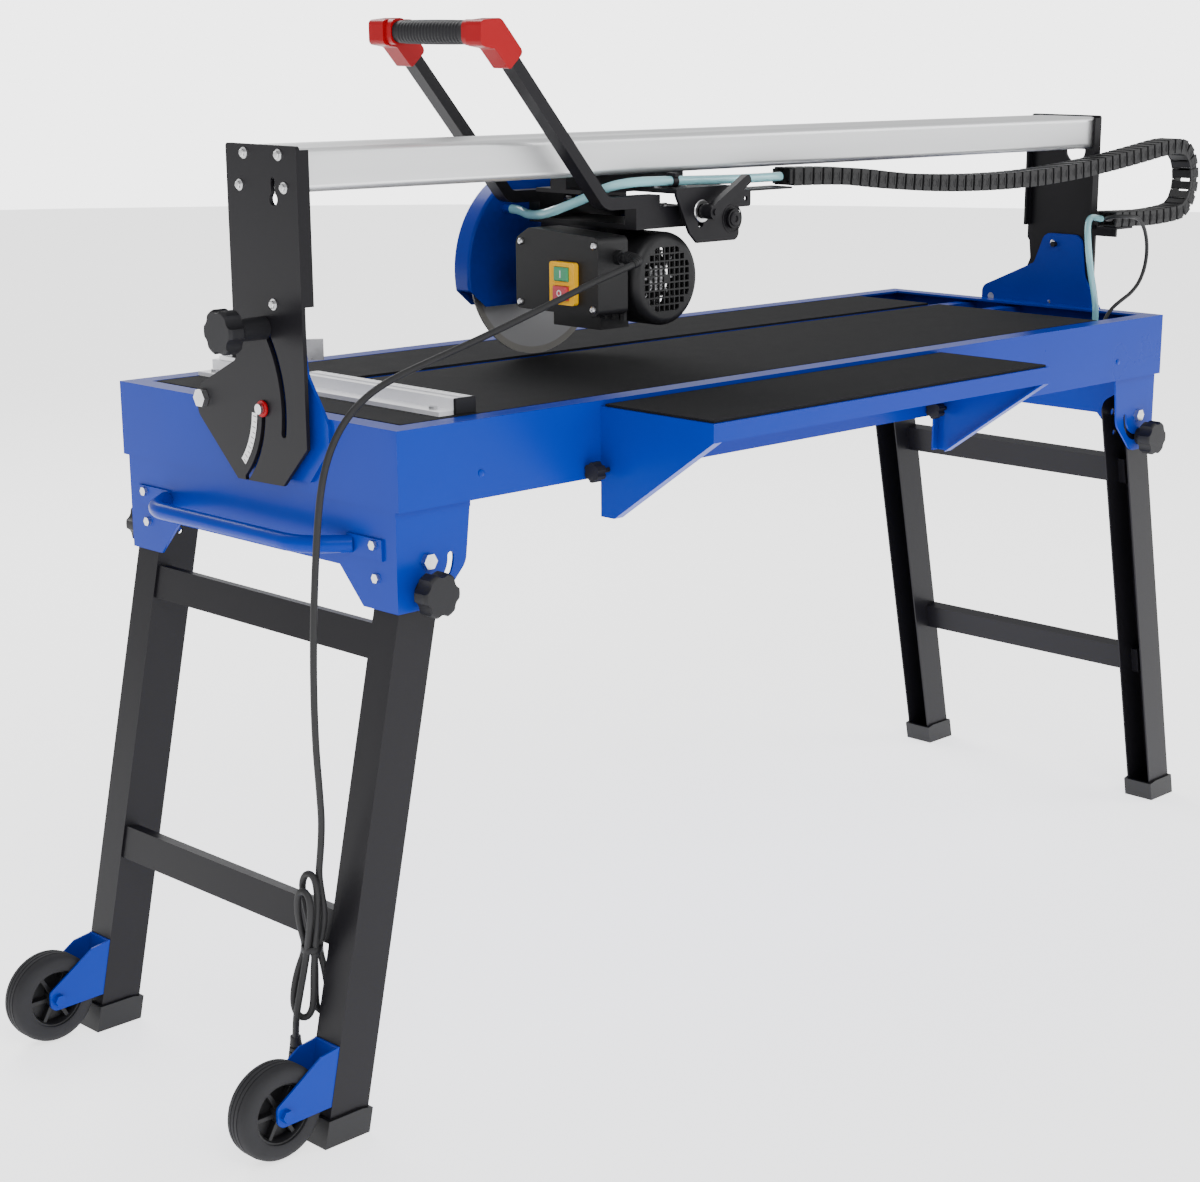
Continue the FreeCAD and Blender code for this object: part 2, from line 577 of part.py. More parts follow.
def trolley():
    neck_half = RAIL_SLOT / 2 - 2.5
    plate_z0, plate_z1 = TRAY_Z, TRAY_Z + 5.0
    roller_z = RAIL_Z0 + RAIL_WALL + ROLLER_R + 0.05
    y0, y1 = RAIL_Y - HANGER_OFF - HANGER_T, RAIL_Y + HANGER_OFF + HANGER_T
    body = box(TROLLEY_X0, TROLLEY_X1, RAIL_Y - neck_half, RAIL_Y + neck_half, plate_z1, roller_z + 8)
    body = body.fuse(box(TROLLEY_X0, TROLLEY_X1, RAIL_Y - 40, RAIL_Y + 40, plate_z0, plate_z1))
    body = body.fuse(box(523, 645, y0, y1, plate_z0, plate_z1))
    px, pz = HEAD_PIVOT
    hanger = [(523, plate_z1 + 2, 3.0), (523, plate_z0 - 2, 3.0), (547, pz - 14), (561, pz - 27),
              (638, pz - 27, 10.0), (638, pz + 14), (660, pz + 14, 4.0), (660, plate_z0, 4.0),
              (640, plate_z0), (640, plate_z1 + 2, 3.0)]
    stop = LOCK_ANGLE + PLUNGE_MAX
    for a, b in ((y0, y0 + HANGER_T), (y1 - HANGER_T, y1)):
        cheek = slab("y", a, b, hanger)
        cheek = cheek.cut(arc_slot("y", a - 1, b + 1, HEAD_PIVOT, LOCK_R, 2 * STUD_R + 2.0,
                                   LOCK_ANGLE - 5.0, stop + 3.0))
        cheek = cheek.cut(rod("y", a - 1, b + 1, 651, pz + 24, 3.0))
        body = body.fuse(cheek)
    tray = box(640, 742, CHAIN_Y - CHAIN_W / 2, CHAIN_Y + CHAIN_W / 2, TRAY_Z - 2.5, TRAY_Z)
    body = fuse([body, tray])
    pin = rod("y", y0 - 2, y1 + 2, px, pz, 7.0)
    pin = pin.fuse(rod("y", y0 - 5, y0, px, pz, 12.0)).fuse(rod("y", y1, y1 + 5, px, pz, 12.0))
    body = body.fuse(pin)
    axle_hole = ROLLER_AXLE_R + FIT
    spots = {"roller_pair_left": TROLLEY_X0 + 26, "roller_pair_right": TROLLEY_X1 - 26}
    for name, x in spots.items():
        body = body.cut(rod("y", y0, y1, x, roller_z, axle_hole))
        axle = rod("y", RAIL_Y - 40, RAIL_Y + 40, x, roller_z, ROLLER_AXLE_R)
        for side in (-1, 1):
            mid = RAIL_Y + side * ROLLER_Y_OFF
            axle = axle.fuse(rod("y", mid - ROLLER_W / 2, mid + ROLLER_W / 2, x, roller_z, ROLLER_R))
        add(name, axle.removeSplitter())
    add("trolley", body.removeSplitter())


def handle_arm(y0):
    """Bent rectangular tube from the swing arm up to the corner of the grip."""
    half = HANDLE_T / 2
    seat = ARM_Z1 + half
    start, bend, top = (512.0, seat), (421.0, seat), (270.0, ARM_Z1 + 180)
    dx, dz = top[0] - bend[0], top[1] - bend[1]
    run = math.hypot(dx, dz)
    nx, nz = dz / run, -dx / run
    miter = math.tan((math.pi - math.atan2(dz, dx)) / 2)
    face = [(start[0], start[1] - half), (start[0], start[1] + half),
            (bend[0] + half * miter, bend[1] + half, 12.0),
            (top[0] + nx * half, top[1] + nz * half), (top[0] - nx * half, top[1] - nz * half),
            (bend[0] - half * miter, bend[1] - half, 27.0)]
    return slab("y", y0, y0 + ARM_W, face)


def head():
    px, pz = HEAD_PIVOT
    front_y, back_y = RAIL_Y - ARM_OFF - ARM_W / 2, RAIL_Y + ARM_OFF - ARM_W / 2
    tube_y0, tube_y1 = RAIL_Y - HANGER_OFF + 0.3, RAIL_Y + HANGER_OFF - 0.3
    bars = [rod("y", tube_y0, tube_y1, px, pz, 13.0)]
    for y in (front_y, back_y):
        bars.append(slab("y", y, y + ARM_W, [
            (470, ARM_Z0), (px + 13, ARM_Z0, 8.0), (px + 13, ARM_Z1, 12.0), (470, ARM_Z1)]))
    bars.append(box(470, 560, front_y, back_y + ARM_W, ARM_Z0, ARM_Z0 + 6))
    lock_x, lock_z = (px + LOCK_R * math.cos(math.radians(LOCK_ANGLE)),
                      pz + LOCK_R * math.sin(math.radians(LOCK_ANGLE)))
    arm = fuse(bars).cut(rod("y", tube_y0 - 5, tube_y1 + 5, px, pz, 7.0 + FIT))
    arm = arm.cut(rod("y", tube_y0 - 5, front_y + ARM_W + 1, lock_x, lock_z, STUD_R + FIT))
    add("swing_arm", arm)

    add("handle_frame", Part.makeCompound([handle_arm(front_y), handle_arm(back_y)]))
    grip_x, grip_z = 243.0, ARM_Z1 + 207
    corners = []
    for y, inner in ((front_y, 1), (back_y, -1)):
        cap = slab("y", y - 3, y + ARM_W + 3, [
            (219, grip_z + 14, 6.0), (250, grip_z + 17, 10.0), (284, grip_z - 21, 6.0), (262, grip_z - 41, 4.0),
            (240, grip_z - 17, 6.0), (219, grip_z - 14, 6.0)])
        y_a, y_b = (y + ARM_W + 3, y + ARM_W + 14) if inner > 0 else (y - 14, y - 3)
        sleeve = slab("y", y_a, y_b, [(grip_x - 21, grip_z - 14, 9.0), (grip_x + 17, grip_z - 14, 9.0),
                                      (grip_x + 17, grip_z + 15, 9.0), (grip_x - 21, grip_z + 15, 9.0)])
        cap = cap.fuse(sleeve).removeSplitter()
        corners.append(cap.cut(handle_arm(y)))
    add("handle_corners", Part.makeCompound(corners))
    grip = slab("y", front_y + ARM_W + 14, back_y - 14, [
        (grip_x - 20, grip_z - 13, 10.0), (grip_x + 16, grip_z - 13, 10.0),
        (grip_x + 16, grip_z + 14, 10.0), (grip_x - 20, grip_z + 14, 10.0)])
    add("handle_grip", grip)

    stud = rod("y", 58, front_y + ARM_W - 2, lock_x, lock_z, STUD_R)
    boss = rod("y", 60, 80, lock_x, lock_z, 9.0)
    lever = slab("y", 62, 72, [(-9, -8, 7.0), (78, -6, 5.0), (78, 6, 5.0), (-9, 8, 7.0)])
    lever.translate(V(lock_x, 0, lock_z))
    lever = turned(lever, V(lock_x, 0, lock_z), V(0, 1, 0), -31.0)
    add("lock_lever", fuse([stud, boss, lever]))


def motor():
    x, z = AXIS_X, AXIS_Z
    core = rod("y", COWL_Y1, MOTOR_Y1, x, z, MOTOR_R)
    for k in range(24):
        angle = 15.0 * k
        fin = box(x - 1.25, x + 1.25, COWL_Y1 + 4, MOTOR_Y1 - 26, z + MOTOR_R - 2, z + MOTOR_R + FIN_H)
        core = core.fuse(turned(fin, V(x, 0, z), V(0, 1, 0), angle))
    pad = box(x - 36, x + 30, 170, 290, z + MOTOR_R - 12, ARM_Z0)
    pedestal = box(455, x - 30, 165, 240, z - 30, z + 34)
    foot_block = box(470, 520, 165, 250, z - MOTOR_R - 15, z - MOTOR_R + 14)
    nose = rod("y", MOTOR_Y1 - 2, BLADE_Y - GUARD_W / 2, x, z, 34.0)
    shell = fuse([core, pad, pedestal, foot_block, nose])
    shell = shell.cut(rod("y", COWL_Y1 - 1, MOTOR_Y1 - 6, x, z, MOTOR_R - 6))
    shell = shell.cut(rod("y", COWL_Y1 - 1, BLADE_Y, x, z, SHAFT_R + FIT))
    add("motor_housing", shell.removeSplitter())

    cowl = rod("y", COWL_Y0, COWL_Y1, x, z, COWL_R)
    front = [e for e in cowl.Edges if abs(e.CenterOfMass.y - COWL_Y0) < 0.01 and e.Length > 300]
    cowl = cowl.makeFillet(10.0, front)
    hollow = rod("y", COWL_Y0 + 3, COWL_Y1 + 1, x, z, COWL_R - 3)
    cowl = cowl.cut(hollow)
    pitch, bar_w, opening_r = 9.0, 2.0, 43.0
    cells = []
    count = int(opening_r // pitch)
    for i in range(-count, count + 1):
        for k in range(-count, count + 1):
            cx, cz = i * pitch, k * pitch
            if math.hypot(cx, cz) > opening_r - 2.0 or math.hypot(cx, cz) < 5.0:
                continue
            side = (pitch - bar_w) / 2
            cells.append(box(x + cx - side, x + cx + side, COWL_Y0 - 1, COWL_Y0 + 4, z + cz - side, z + cz + side))
    round_edge = rod("y", COWL_Y0 - 2, COWL_Y0 + 5, x, z, opening_r)
    cowl = cowl.cut(Part.makeCompound(cells).common(round_edge))
    add("fan_cowl", cowl)

    bx0, bx1, by0, by1, bz0, bz1 = 412.0, 455.0, 101.5, 248.0, z - 38, z + 57
    lid = slab("x", bx0 - 8, bx0, [(by0, bz0, 8.0), (by1, bz0, 8.0), (by1, bz1 - 8, 12.0), (by1 - 24, bz1 + 6, 12.0),
                                   (by0, bz1, 8.0)])
    case = slab("x", bx0, bx1, [(by0, bz0, 8.0), (by1, bz0, 8.0), (by1, bz1 - 8, 12.0), (by1 - 24, bz1 + 6, 12.0),
                                (by0, bz1, 8.0)])
    gland = fuse([rod("y", by0 - 8, by0, 438, z + 32, 9.0), rod("y", 86.0, by0 - 8, 438, z + 32, 6.5)])
    case = case.fuse(gland).removeSplitter()
    seat_y, seat_z, seat_w, seat_h = 158.0, z - 1, 44.0, 52.0
    pocket = box(bx0 - 9, bx0 + 18, seat_y - 18, seat_y + 18, seat_z - 21, seat_z + 21)
    add("terminal_box", Part.makeCompound([lid.cut(pocket), case.cut(pocket)]))
    frame_x = bx0 - 8
    bezel = slab("x", frame_x - 7, frame_x, [
        (seat_y - seat_w / 2, seat_z - seat_h / 2, 4.0), (seat_y + seat_w / 2, seat_z - seat_h / 2, 4.0),
        (seat_y + seat_w / 2, seat_z + seat_h / 2, 4.0), (seat_y - seat_w / 2, seat_z + seat_h / 2, 4.0)])
    body = box(frame_x, bx0 + 16, seat_y - 17.5, seat_y + 17.5, seat_z - 20.5, seat_z + 20.5)
    switch = bezel.fuse(body)
    button_w, button_h = 24.0, 17.0
    for centre in (seat_z + 11.5, seat_z - 11.5):
        switch = switch.cut(box(frame_x - 8, frame_x + 4, seat_y - button_w / 2 - 0.5, seat_y + button_w / 2 + 0.5,
                                centre - button_h / 2 - 0.5, centre + button_h / 2 + 0.5))
    add("switch_frame", switch.removeSplitter())
    for name, centre, out in (("start_button", seat_z + 11.5, 3.0), ("stop_button", seat_z - 11.5, 5.0)):
        key = box(frame_x - 7 - out, frame_x - 1, seat_y - button_w / 2, seat_y + button_w / 2,
                  centre - button_h / 2, centre + button_h / 2)
        key = key.makeFillet(1.5, [e for e in key.Edges if abs(e.CenterOfMass.x - (frame_x - 7 - out)) < 0.01])
        add(name, key)


def guard_and_blade():
    x, z = AXIS_X, AXIS_Z
    y0, y1 = BLADE_Y - GUARD_W / 2, BLADE_Y + GUARD_W / 2
    hood = rod("y", y0, y1, x, z, GUARD_R)
    hood = hood.makeFillet(4.0, [e for e in hood.Edges if abs(e.Length - 2 * math.pi * GUARD_R) < 0.01])
    hood = hood.cut(rod("y", y0 + GUARD_T, y1 - GUARD_T, x, z, GUARD_R - GUARD_T))
    hood = hood.cut(box(x - 200, x + 200, y0 - 1, y1 + 1, z - 200, GUARD_CUT_Z))
    hood = hood.cut(slab("y", y0 - 1, y1 + 1, [(x - 140, GUARD_CUT_Z + 32), (x - 96, GUARD_CUT_Z - 4),
                                               (x - 140, GUARD_CUT_Z - 4)]))
    hood = hood.cut(rod("y", y0 - 1, y0 + GUARD_T + 1, x, z, SHAFT_R + 3.0))
    inlet = rod("y", y0 - 14, y0, x - 67, z + 78, 5.0)
    hood = hood.fuse(inlet).cut(rod("y", y0 - 15, y0 + GUARD_T + 1, x - 67, z + 78, 3.0))
    add("blade_guard", hood.removeSplitter())

    disc = rod("y", BLADE_Y - BLADE_T / 2, BLADE_Y + BLADE_T / 2, x, z, BLADE_R - BLADE_RIM_W)
    rim = rod("y", BLADE_Y - BLADE_RIM_T / 2, BLADE_Y + BLADE_RIM_T / 2, x, z, BLADE_R)
    rim = rim.cut(rod("y", BLADE_Y - 5, BLADE_Y + 5, x, z, BLADE_R - BLADE_RIM_W))
    disc = disc.fuse(rim).cut(rod("y", BLADE_Y - 5, BLADE_Y + 5, x, z, BORE_R))
    add("blade", disc.removeSplitter())

    inner_face, outer_face = BLADE_Y - BLADE_T / 2, BLADE_Y + BLADE_T / 2
    pieces = [rod("y", COWL_Y0 + 14, BLADE_Y + 10, x, z, SHAFT_R),
              rod("y", 176, 280, x, z, MOTOR_R - 10),
              rod("y", inner_face - 5, inner_face, x, z, FLANGE_R),
              rod("y", inner_face, outer_face, x, z, BORE_R),
              rod("y", outer_face, outer_face + 4, x, z, FLANGE_R),
              slab("y", outer_face + 4, outer_face + 10, [
                  (x + 11 * math.cos(math.radians(60 * k)), z + 11 * math.sin(math.radians(60 * k)))
                  for k in range(6)])]
    hub = rod("y", COWL_Y0 + 16, COWL_Y0 + 30, x, z, 16.0)
    pieces.append(hub)
    for k in range(8):
        vane = box(x - 1.2, x + 1.2, COWL_Y0 + 16, COWL_Y0 + 30, z + 14, z + 48)
        pieces.append(turned(vane, V(x, 0, z), V(0, 1, 0), 45.0 * k))
    add("arbor", fuse(pieces))


def side_table():
    x0, x1 = SIDE_X0, SIDE_X1
    y0, y1 = -SIDE_DEPTH, 0.0
    t = SIDE_T
    top = SIDE_TOP - MAT_T
    pieces = [box(x0, x1, y0, y1, top - t, top),
              box(x0, x1, y0, y0 + t, top - SIDE_LIP, top),
              box(x0, x1, y1 - t, y1, top - SIDE_LIP, top)]
    low = top - SIDE_GUSSET
    for a, inward in ((x0, 1), (x1 - t, -1)):
        pieces.append(slab("x", a, a + t, [(y0, top), (y0, top - SIDE_LIP), (y1 - 22, low), (y1, low), (y1, top)]))
        f0, f1 = (a, a + 14) if inward > 0 else (a + t - 14, a + t)
        pieces.append(slab("x", f0, f1, [(y0, top - SIDE_LIP), (y1 - 22, low), (y1 - 22, low + t),
                                         (y0, top - SIDE_LIP + t)]))
        pieces.append(box(f0, f1, y1 - t, y1, low, top))
    add("side_table", fuse(pieces))
    inset = 4.0
    add("side_table_mat", box(x0 + inset, x1 - inset, y0 + inset, y1 - inset, top, SIDE_TOP))
    knob_z = TABLE_H - RIM_D + 10
    for name, x in (("side_knob_left", x0 - 15.3), ("side_knob_right", x1 - 15.3 - t)):
        head_piece = rod("x", x - 13, x, -13.0, knob_z, 12.0)
        for k in range(KNOB_LOBES):
            angle = math.radians(60.0 * k)
            head_piece = head_piece.cut(rod("x", x - 14, x + 1, -13.0 + 15 * math.cos(angle),
                                            knob_z + 15 * math.sin(angle), 5.0))
        stud = rod("x", x, x + 15 + 12, -13.0, knob_z, 3.0)
        add(name, head_piece.fuse(stud).removeSplitter())
        hole = rod("x", x + 10, x + 22, -13.0, knob_z, 3.0 + FIT)
        nodes["side_table"] = nodes["side_table"].cut(hole)


def fence():
    z0 = TABLE_H
    x0, x1 = FENCE_X0, FENCE_X1
    profile = [(x0, z0), (x1, z0), (x1, z0 + FENCE_H), (x0 + 22, z0 + FENCE_H), (x0 + 22, z0 + 5), (x0, z0 + 5)]
    rail = slab("y", FENCE_Y0, FENCE_Y1, profile)
    top_slot = box(x0 + 31, x0 + 39, FENCE_Y0 - 1, FENCE_Y1 + 1, z0 + FENCE_H - 4, z0 + FENCE_H + 1)
    tee = box(x0 + 27, x0 + 43, FENCE_Y0 - 1, FENCE_Y1 + 1, z0 + FENCE_H - 10, z0 + FENCE_H - 4)
    rail = rail.cut(top_slot).cut(tee)
    rail = rail.cut(box(x0 - 1, x1 + 1, BLADE_Y - 16, BLADE_Y + 16, z0 + 6, z0 + FENCE_H + 1))
    bolts = []
    for y in (FENCE_Y0 + 22, FENCE_Y1 - 22):
        bolts.append(hex_bolt("z", z0 + 5, z0 - MAT_T, x0 + 10, y, 3.0))
        rail = rail.cut(rod("z", z0 - 1, z0 + 6, x0 + 10, y, 3.0))
        nodes["deck_mats"] = nodes["deck_mats"].cut(rod("z", z0 - MAT_T, z0 + 1, x0 + 10, y, 3.0))
    add("fence_rail", rail.removeSplitter())

    for side, x_in, x_out in (("left", 0.0, -BRACKET_T - LEFT_GAP - POST_T), (
            "right", TABLE_L, TABLE_L + BRACKET_T + RIGHT_GAP + POST_T)):
        outer = -1 if side == "left" else 1
        pivot = rod("x", min(x_in, x_out), max(x_in, x_out), PIVOT_Y, PIVOT_Z, 6.0)
        a, b = sorted((x_out + outer * 0.3, x_out + outer * 7.3))
        head_piece = slab("x", a, b, [(PIVOT_Y + 11 * math.cos(math.radians(60 * k)),
                                       PIVOT_Z + 11 * math.sin(math.radians(60 * k))) for k in range(6)])
        a, b = sorted((x_out, x_out + outer * 0.5))
        pivot = fuse([pivot, rod("x", a, b, PIVOT_Y, PIVOT_Z, 6.0), head_piece])
        bolts.append(pivot)
    pointer = clamp_centre(SCALE_R, SCALE_ANGLE)
    bolts.append(fuse([rod("x", -BRACKET_T - LEFT_GAP - POST_T - 4, 0, pointer[0], pointer[1], 3.0),
                       rod("x", -BRACKET_T - LEFT_GAP - POST_T - 8, -BRACKET_T - LEFT_GAP - POST_T - 4,
                           pointer[0], pointer[1], 6.0)]))
    for x in (LEG_PIVOT_X, TABLE_L - LEG_PIVOT_X):
        for seat, tip in ((SKIRT_Y0, LEG_Y + LEG_W - 8), (TABLE_W - SKIRT_Y0, TABLE_W - LEG_Y - LEG_W + 8)):
            bolts.append(hex_bolt("y", seat, tip, x, LEG_PIVOT_Z, 5.0))
    for y in (43.0, TABLE_W - 43.0):
        for z, seat in ((TABLE_H - RIM_D - 41, SKIRT_X0 - 3), (TABLE_H - RIM_D - 79, SKIRT_X0)):
            bolt = hex_bolt("x", seat, SKIRT_X0 + SKIRT_T + 1, y, z, 3.0)
            bolts.append(bolt)
            hole = rod("x", SKIRT_X0 - 4, SKIRT_X0 + SKIRT_T + 2, y, z, 3.0)
            nodes["leg_skirt_left"] = nodes["leg_skirt_left"].cut(hole)
            nodes["carry_handle"] = nodes["carry_handle"].cut(hole)
    add("table_bolts", Part.makeCompound(bolts))

    top = z0 + FENCE_H
    stop_y = 462.0
    slider = box(x0 + 24, x1 - 2, stop_y - 24, stop_y + 24, top + 0.3, top + 5.3)
    face = slab("z", top + 0.3, top + 26.3, [(x1 - 5, stop_y - 25), (x1 + 62, stop_y - 70), (x1 + 66, stop_y - 65),
                                           (x1 - 1, stop_y - 19)])
    key = box(x0 + 31.3, x0 + 38.7, stop_y - 16, stop_y + 16, top - 4, top + 0.4)
    stop = fuse([slider, face, key]).cut(rod("z", top - 12, top + 8, x0 + 35, stop_y, STUD_R + FIT))
    add("angle_stop", stop)
    wing = rod("z", top + 5.6, top + 17.6, x0 + 35, stop_y, 7.0)
    for side in (-1, 1):
        wing = wing.fuse(box(x0 + 35 - 4, x0 + 35 + 4, min(stop_y, stop_y + side * 22),
                             max(stop_y, stop_y + side * 22), top + 10.6, top + 22.6))
    stud = rod("z", top - 9, top + 6, x0 + 35, stop_y, STUD_R - 0.5)
    add("stop_knob", fuse([wing, stud]))


CORD_POINTS = [(438, 86, 953), (438, 69, 953), (425, 56, 950.5), (397, 52, 945), (350, 51, 934),
               (270, 51, 911), (170, 50, 884), (85, 50, 863), (42, 50, 852), (12, 50, 841), (-14, 50, 826),
               (-38, 50, 803), (-56, 50, 773), (-67, 50, 735), (-74, 50, 684), (-80, 50.5, 616), (-84, 51, 540),
               (-84, 52, 462), (-79, 54, 400), (-76, 56, 356), (-80, 58, 318)]
TAIL_POINTS = [(-106, 78, 134), (-107.5, 79, 120), (-106.5, 80, 106)]
HANK_TOP, HANK_END = (-80, 58, 318), (-106, 78, 134)
PLUG_TOP, PLUG_END = (-106.5, 80, 106), (-104, 82, 24)
HOSE_POINTS = [(456, 311, 999), (456, 297, 999), (448, 270, 994), (429, 224, 998), (427, 186, 1009),
               (434, 147, 1024), (448, 128, 1036), (474, 114, 1041), (512, 110, 1041), (552, 110, 1040),
               (600, 109, 1039), (650, 106, 1038), (697, 104, 1038), (738, 103, 1038)]
TAIL_HOSE_POINTS = [(1503.5, 110, 943), (1486, 109, 946), (1464, 103, 948), (1444, 94, 943), (1430, 85, 928),
                    (1423, 77, 902), (1423, 71, 868), (1430, 67, 834), (1437, 67, 804), (1438, 70, 774)]
CABLE_POINTS = [(1504, 92, 943), (1487, 92, 944), (1474, 79, 948), (1474, 61, 951), (1487, 48, 951),
                (1506, 48, 949), (1526, 49, 938), (1543, 52, 918), (1554, 56, 892), (1555, 60, 866),
                (1546, 63, 845), (1527, 65, 830), (1503, 66, 821), (1480, 67, 811), (1464, 69, 795),
                (1456, 70, 774)]


def spindle_solid(start, end, profile):
    """Solid of revolution about the line start-end; profile holds (share of length, radius)."""
    a, b = V(*start), V(*end)
    length = (b - a).Length
    pts = [V(r, 0, s * length) for s, r in profile]
    curve = Part.BSplineCurve()
    curve.interpolate(pts)
    edges = [curve.toShape(), Part.LineSegment(pts[-1], V(0, 0, length)).toShape(),
             Part.LineSegment(V(0, 0, length), V(0, 0, 0)).toShape(),
             Part.LineSegment(V(0, 0, 0), pts[0]).toShape()]
    solid = Part.Face(Part.Wire(edges)).revolve(V(0, 0, 0), V(0, 0, 1), 360)
    solid = Part.Solid(solid) if solid.ShapeType == "Shell" else solid
    turn = FreeCAD.Rotation(V(0, 0, 1), b - a)
    solid.Placement = FreeCAD.Placement(a, turn)
    return solid


def cords():
    add("mains_cord", cord_tube("mains_cord", CORD_POINTS, CORD_D))
    hank = spindle_solid(HANK_TOP, HANK_END, [(0.0, 5.5), (0.12, 11.0), (0.3, 14.0), (0.48, 10.0), (0.56, 9.0),
                                              (0.75, 15.0), (0.92, 13.0), (1.0, 5.5)])
    add("cord_hank", hank)
    plug = spindle_solid(PLUG_TOP, PLUG_END, [(0.0, 5.5), (0.15, 6.5), (0.35, 9.0), (0.5, 15.0), (0.6, 18.0),
                                              (0.75, 18.5), (0.88, 18.0), (1.0, 17.5)])
    tail = cord_tube("cord_tail", TAIL_POINTS, CORD_D)
    nodes["mains_cord"] = Part.makeCompound([nodes["mains_cord"], tail])
    add("mains_plug", plug)
    add("water_hose", cord_tube("water_hose", HOSE_POINTS, HOSE_D))
    tail_hose = cord_tube("tail_hose", TAIL_HOSE_POINTS, HOSE_D - 2)
    cable = cord_tube("pump_cable", CABLE_POINTS, CABLE_D)
    add("post_hoses", Part.makeCompound([tail_hose, cable]))

    chain_x0, loop_x, start_z = 745.0, 1672.0, 1038.0
    low_z = CHAIN_LOW_Z
    top_z = low_z + 2 * CHAIN_R + 8
    route = [(chain_x0, start_z), (850, 1037), (985, 1021), (1135, 1013), (1290, 1013), (1450, 1024),
             (1575, 1038), (loop_x, top_z + 1)]
    lower = [(loop_x, low_z + 1), (1610, low_z - 2), (1556, low_z), (CHAIN_END_X, low_z + 1)]
    pts = [(x, CHAIN_Y, z) for x, z in route]
    bend = [(loop_x + 38, CHAIN_Y, top_z - 4), (loop_x + 58, CHAIN_Y, top_z - 36),
            (loop_x + 58, CHAIN_Y, low_z + 36), (loop_x + 38, CHAIN_Y, low_z + 5)]
    pts = pts + bend + [(x, CHAIN_Y, z) for x, z in lower]
    wire, length, radii = cord_path(pts)
    print("energy_chain length %.0f" % length, ["%.0f" % r for r in radii])
    half_w, half_h = CHAIN_W / 2, CHAIN_H / 2
    x, z = route[0]
    ring = Part.makePolygon([V(x, CHAIN_Y - half_w, z - half_h), V(x, CHAIN_Y + half_w, z - half_h),
                             V(x, CHAIN_Y + half_w, z + half_h), V(x, CHAIN_Y - half_w, z + half_h),
                             V(x, CHAIN_Y - half_w, z - half_h)])
    add("energy_chain", wire.makePipeShell([ring], True, False))


SOFT = ("mains_cord", "cord_hank", "mains_plug")

table()
left_and_right_ends()
bridge()
trolley()
head()
motor()
guard_and_blade()
side_table()
fence()
cords()

solid_box = FreeCAD.BoundBox()
for name, shape in nodes.items():
    if name not in SOFT:
        solid_box.add(shape.optimalBoundingBox(False, False))
shift = V(-(solid_box.XMin + solid_box.XMax) / 2, -(solid_box.YMin + solid_box.YMax) / 2, -solid_box.ZMin)
print("shift", [round(v, 3) for v in shift])
for name, shape in nodes.items():
    shape.translate(shift)
    valid = shape.isValid() and all(s.isValid() for s in shape.Solids)
    if not valid or not shape.Solids:
        print("INVALID", name)
    shape.exportStep("parts/" + name + ".step")
print(len(nodes), "nodes", "size", [round(v, 1) for v in (solid_box.XLength, solid_box.YLength, solid_box.ZLength)])
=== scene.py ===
import math

import bmesh
import bpy
from mathutils import Matrix, Vector


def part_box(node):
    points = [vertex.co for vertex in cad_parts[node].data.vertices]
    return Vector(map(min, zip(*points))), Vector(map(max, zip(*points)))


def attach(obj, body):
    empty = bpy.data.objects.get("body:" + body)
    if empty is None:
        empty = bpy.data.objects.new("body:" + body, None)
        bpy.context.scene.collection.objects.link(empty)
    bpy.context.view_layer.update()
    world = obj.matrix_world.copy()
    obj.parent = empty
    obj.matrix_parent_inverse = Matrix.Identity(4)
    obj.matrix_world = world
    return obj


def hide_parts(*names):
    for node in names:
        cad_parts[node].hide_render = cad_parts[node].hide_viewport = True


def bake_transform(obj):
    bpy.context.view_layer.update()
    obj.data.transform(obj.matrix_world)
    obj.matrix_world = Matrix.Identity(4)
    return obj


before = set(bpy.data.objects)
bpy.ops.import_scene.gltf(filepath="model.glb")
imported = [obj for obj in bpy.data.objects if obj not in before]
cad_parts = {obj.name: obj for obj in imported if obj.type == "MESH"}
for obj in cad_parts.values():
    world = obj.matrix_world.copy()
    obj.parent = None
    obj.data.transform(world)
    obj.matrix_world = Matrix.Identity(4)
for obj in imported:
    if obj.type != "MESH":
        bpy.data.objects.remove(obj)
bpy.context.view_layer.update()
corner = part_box("table_tub")[0]


def at(x, y, z):
    """A point given in millimetres from the table's front left corner, at floor level."""
    return Vector((corner.x + x / 1000, corner.y + y / 1000, z / 1000))


# ---- camera ------------------------------------------------------------------
camera_data = bpy.data.cameras.new("camera")
camera_data.sensor_width = 36.0
camera_data.lens = 69.48
camera_data.shift_x = -0.0839
camera_data.shift_y = 0.0426
camera = bpy.data.objects.new("camera", camera_data)
camera.location = at(-1576.97, -1915.80, 1219.89)
camera.rotation_euler = (1.31301546, -0.0057392, -0.81966480)
bpy.context.scene.collection.objects.link(camera)
bpy.context.scene.camera = camera


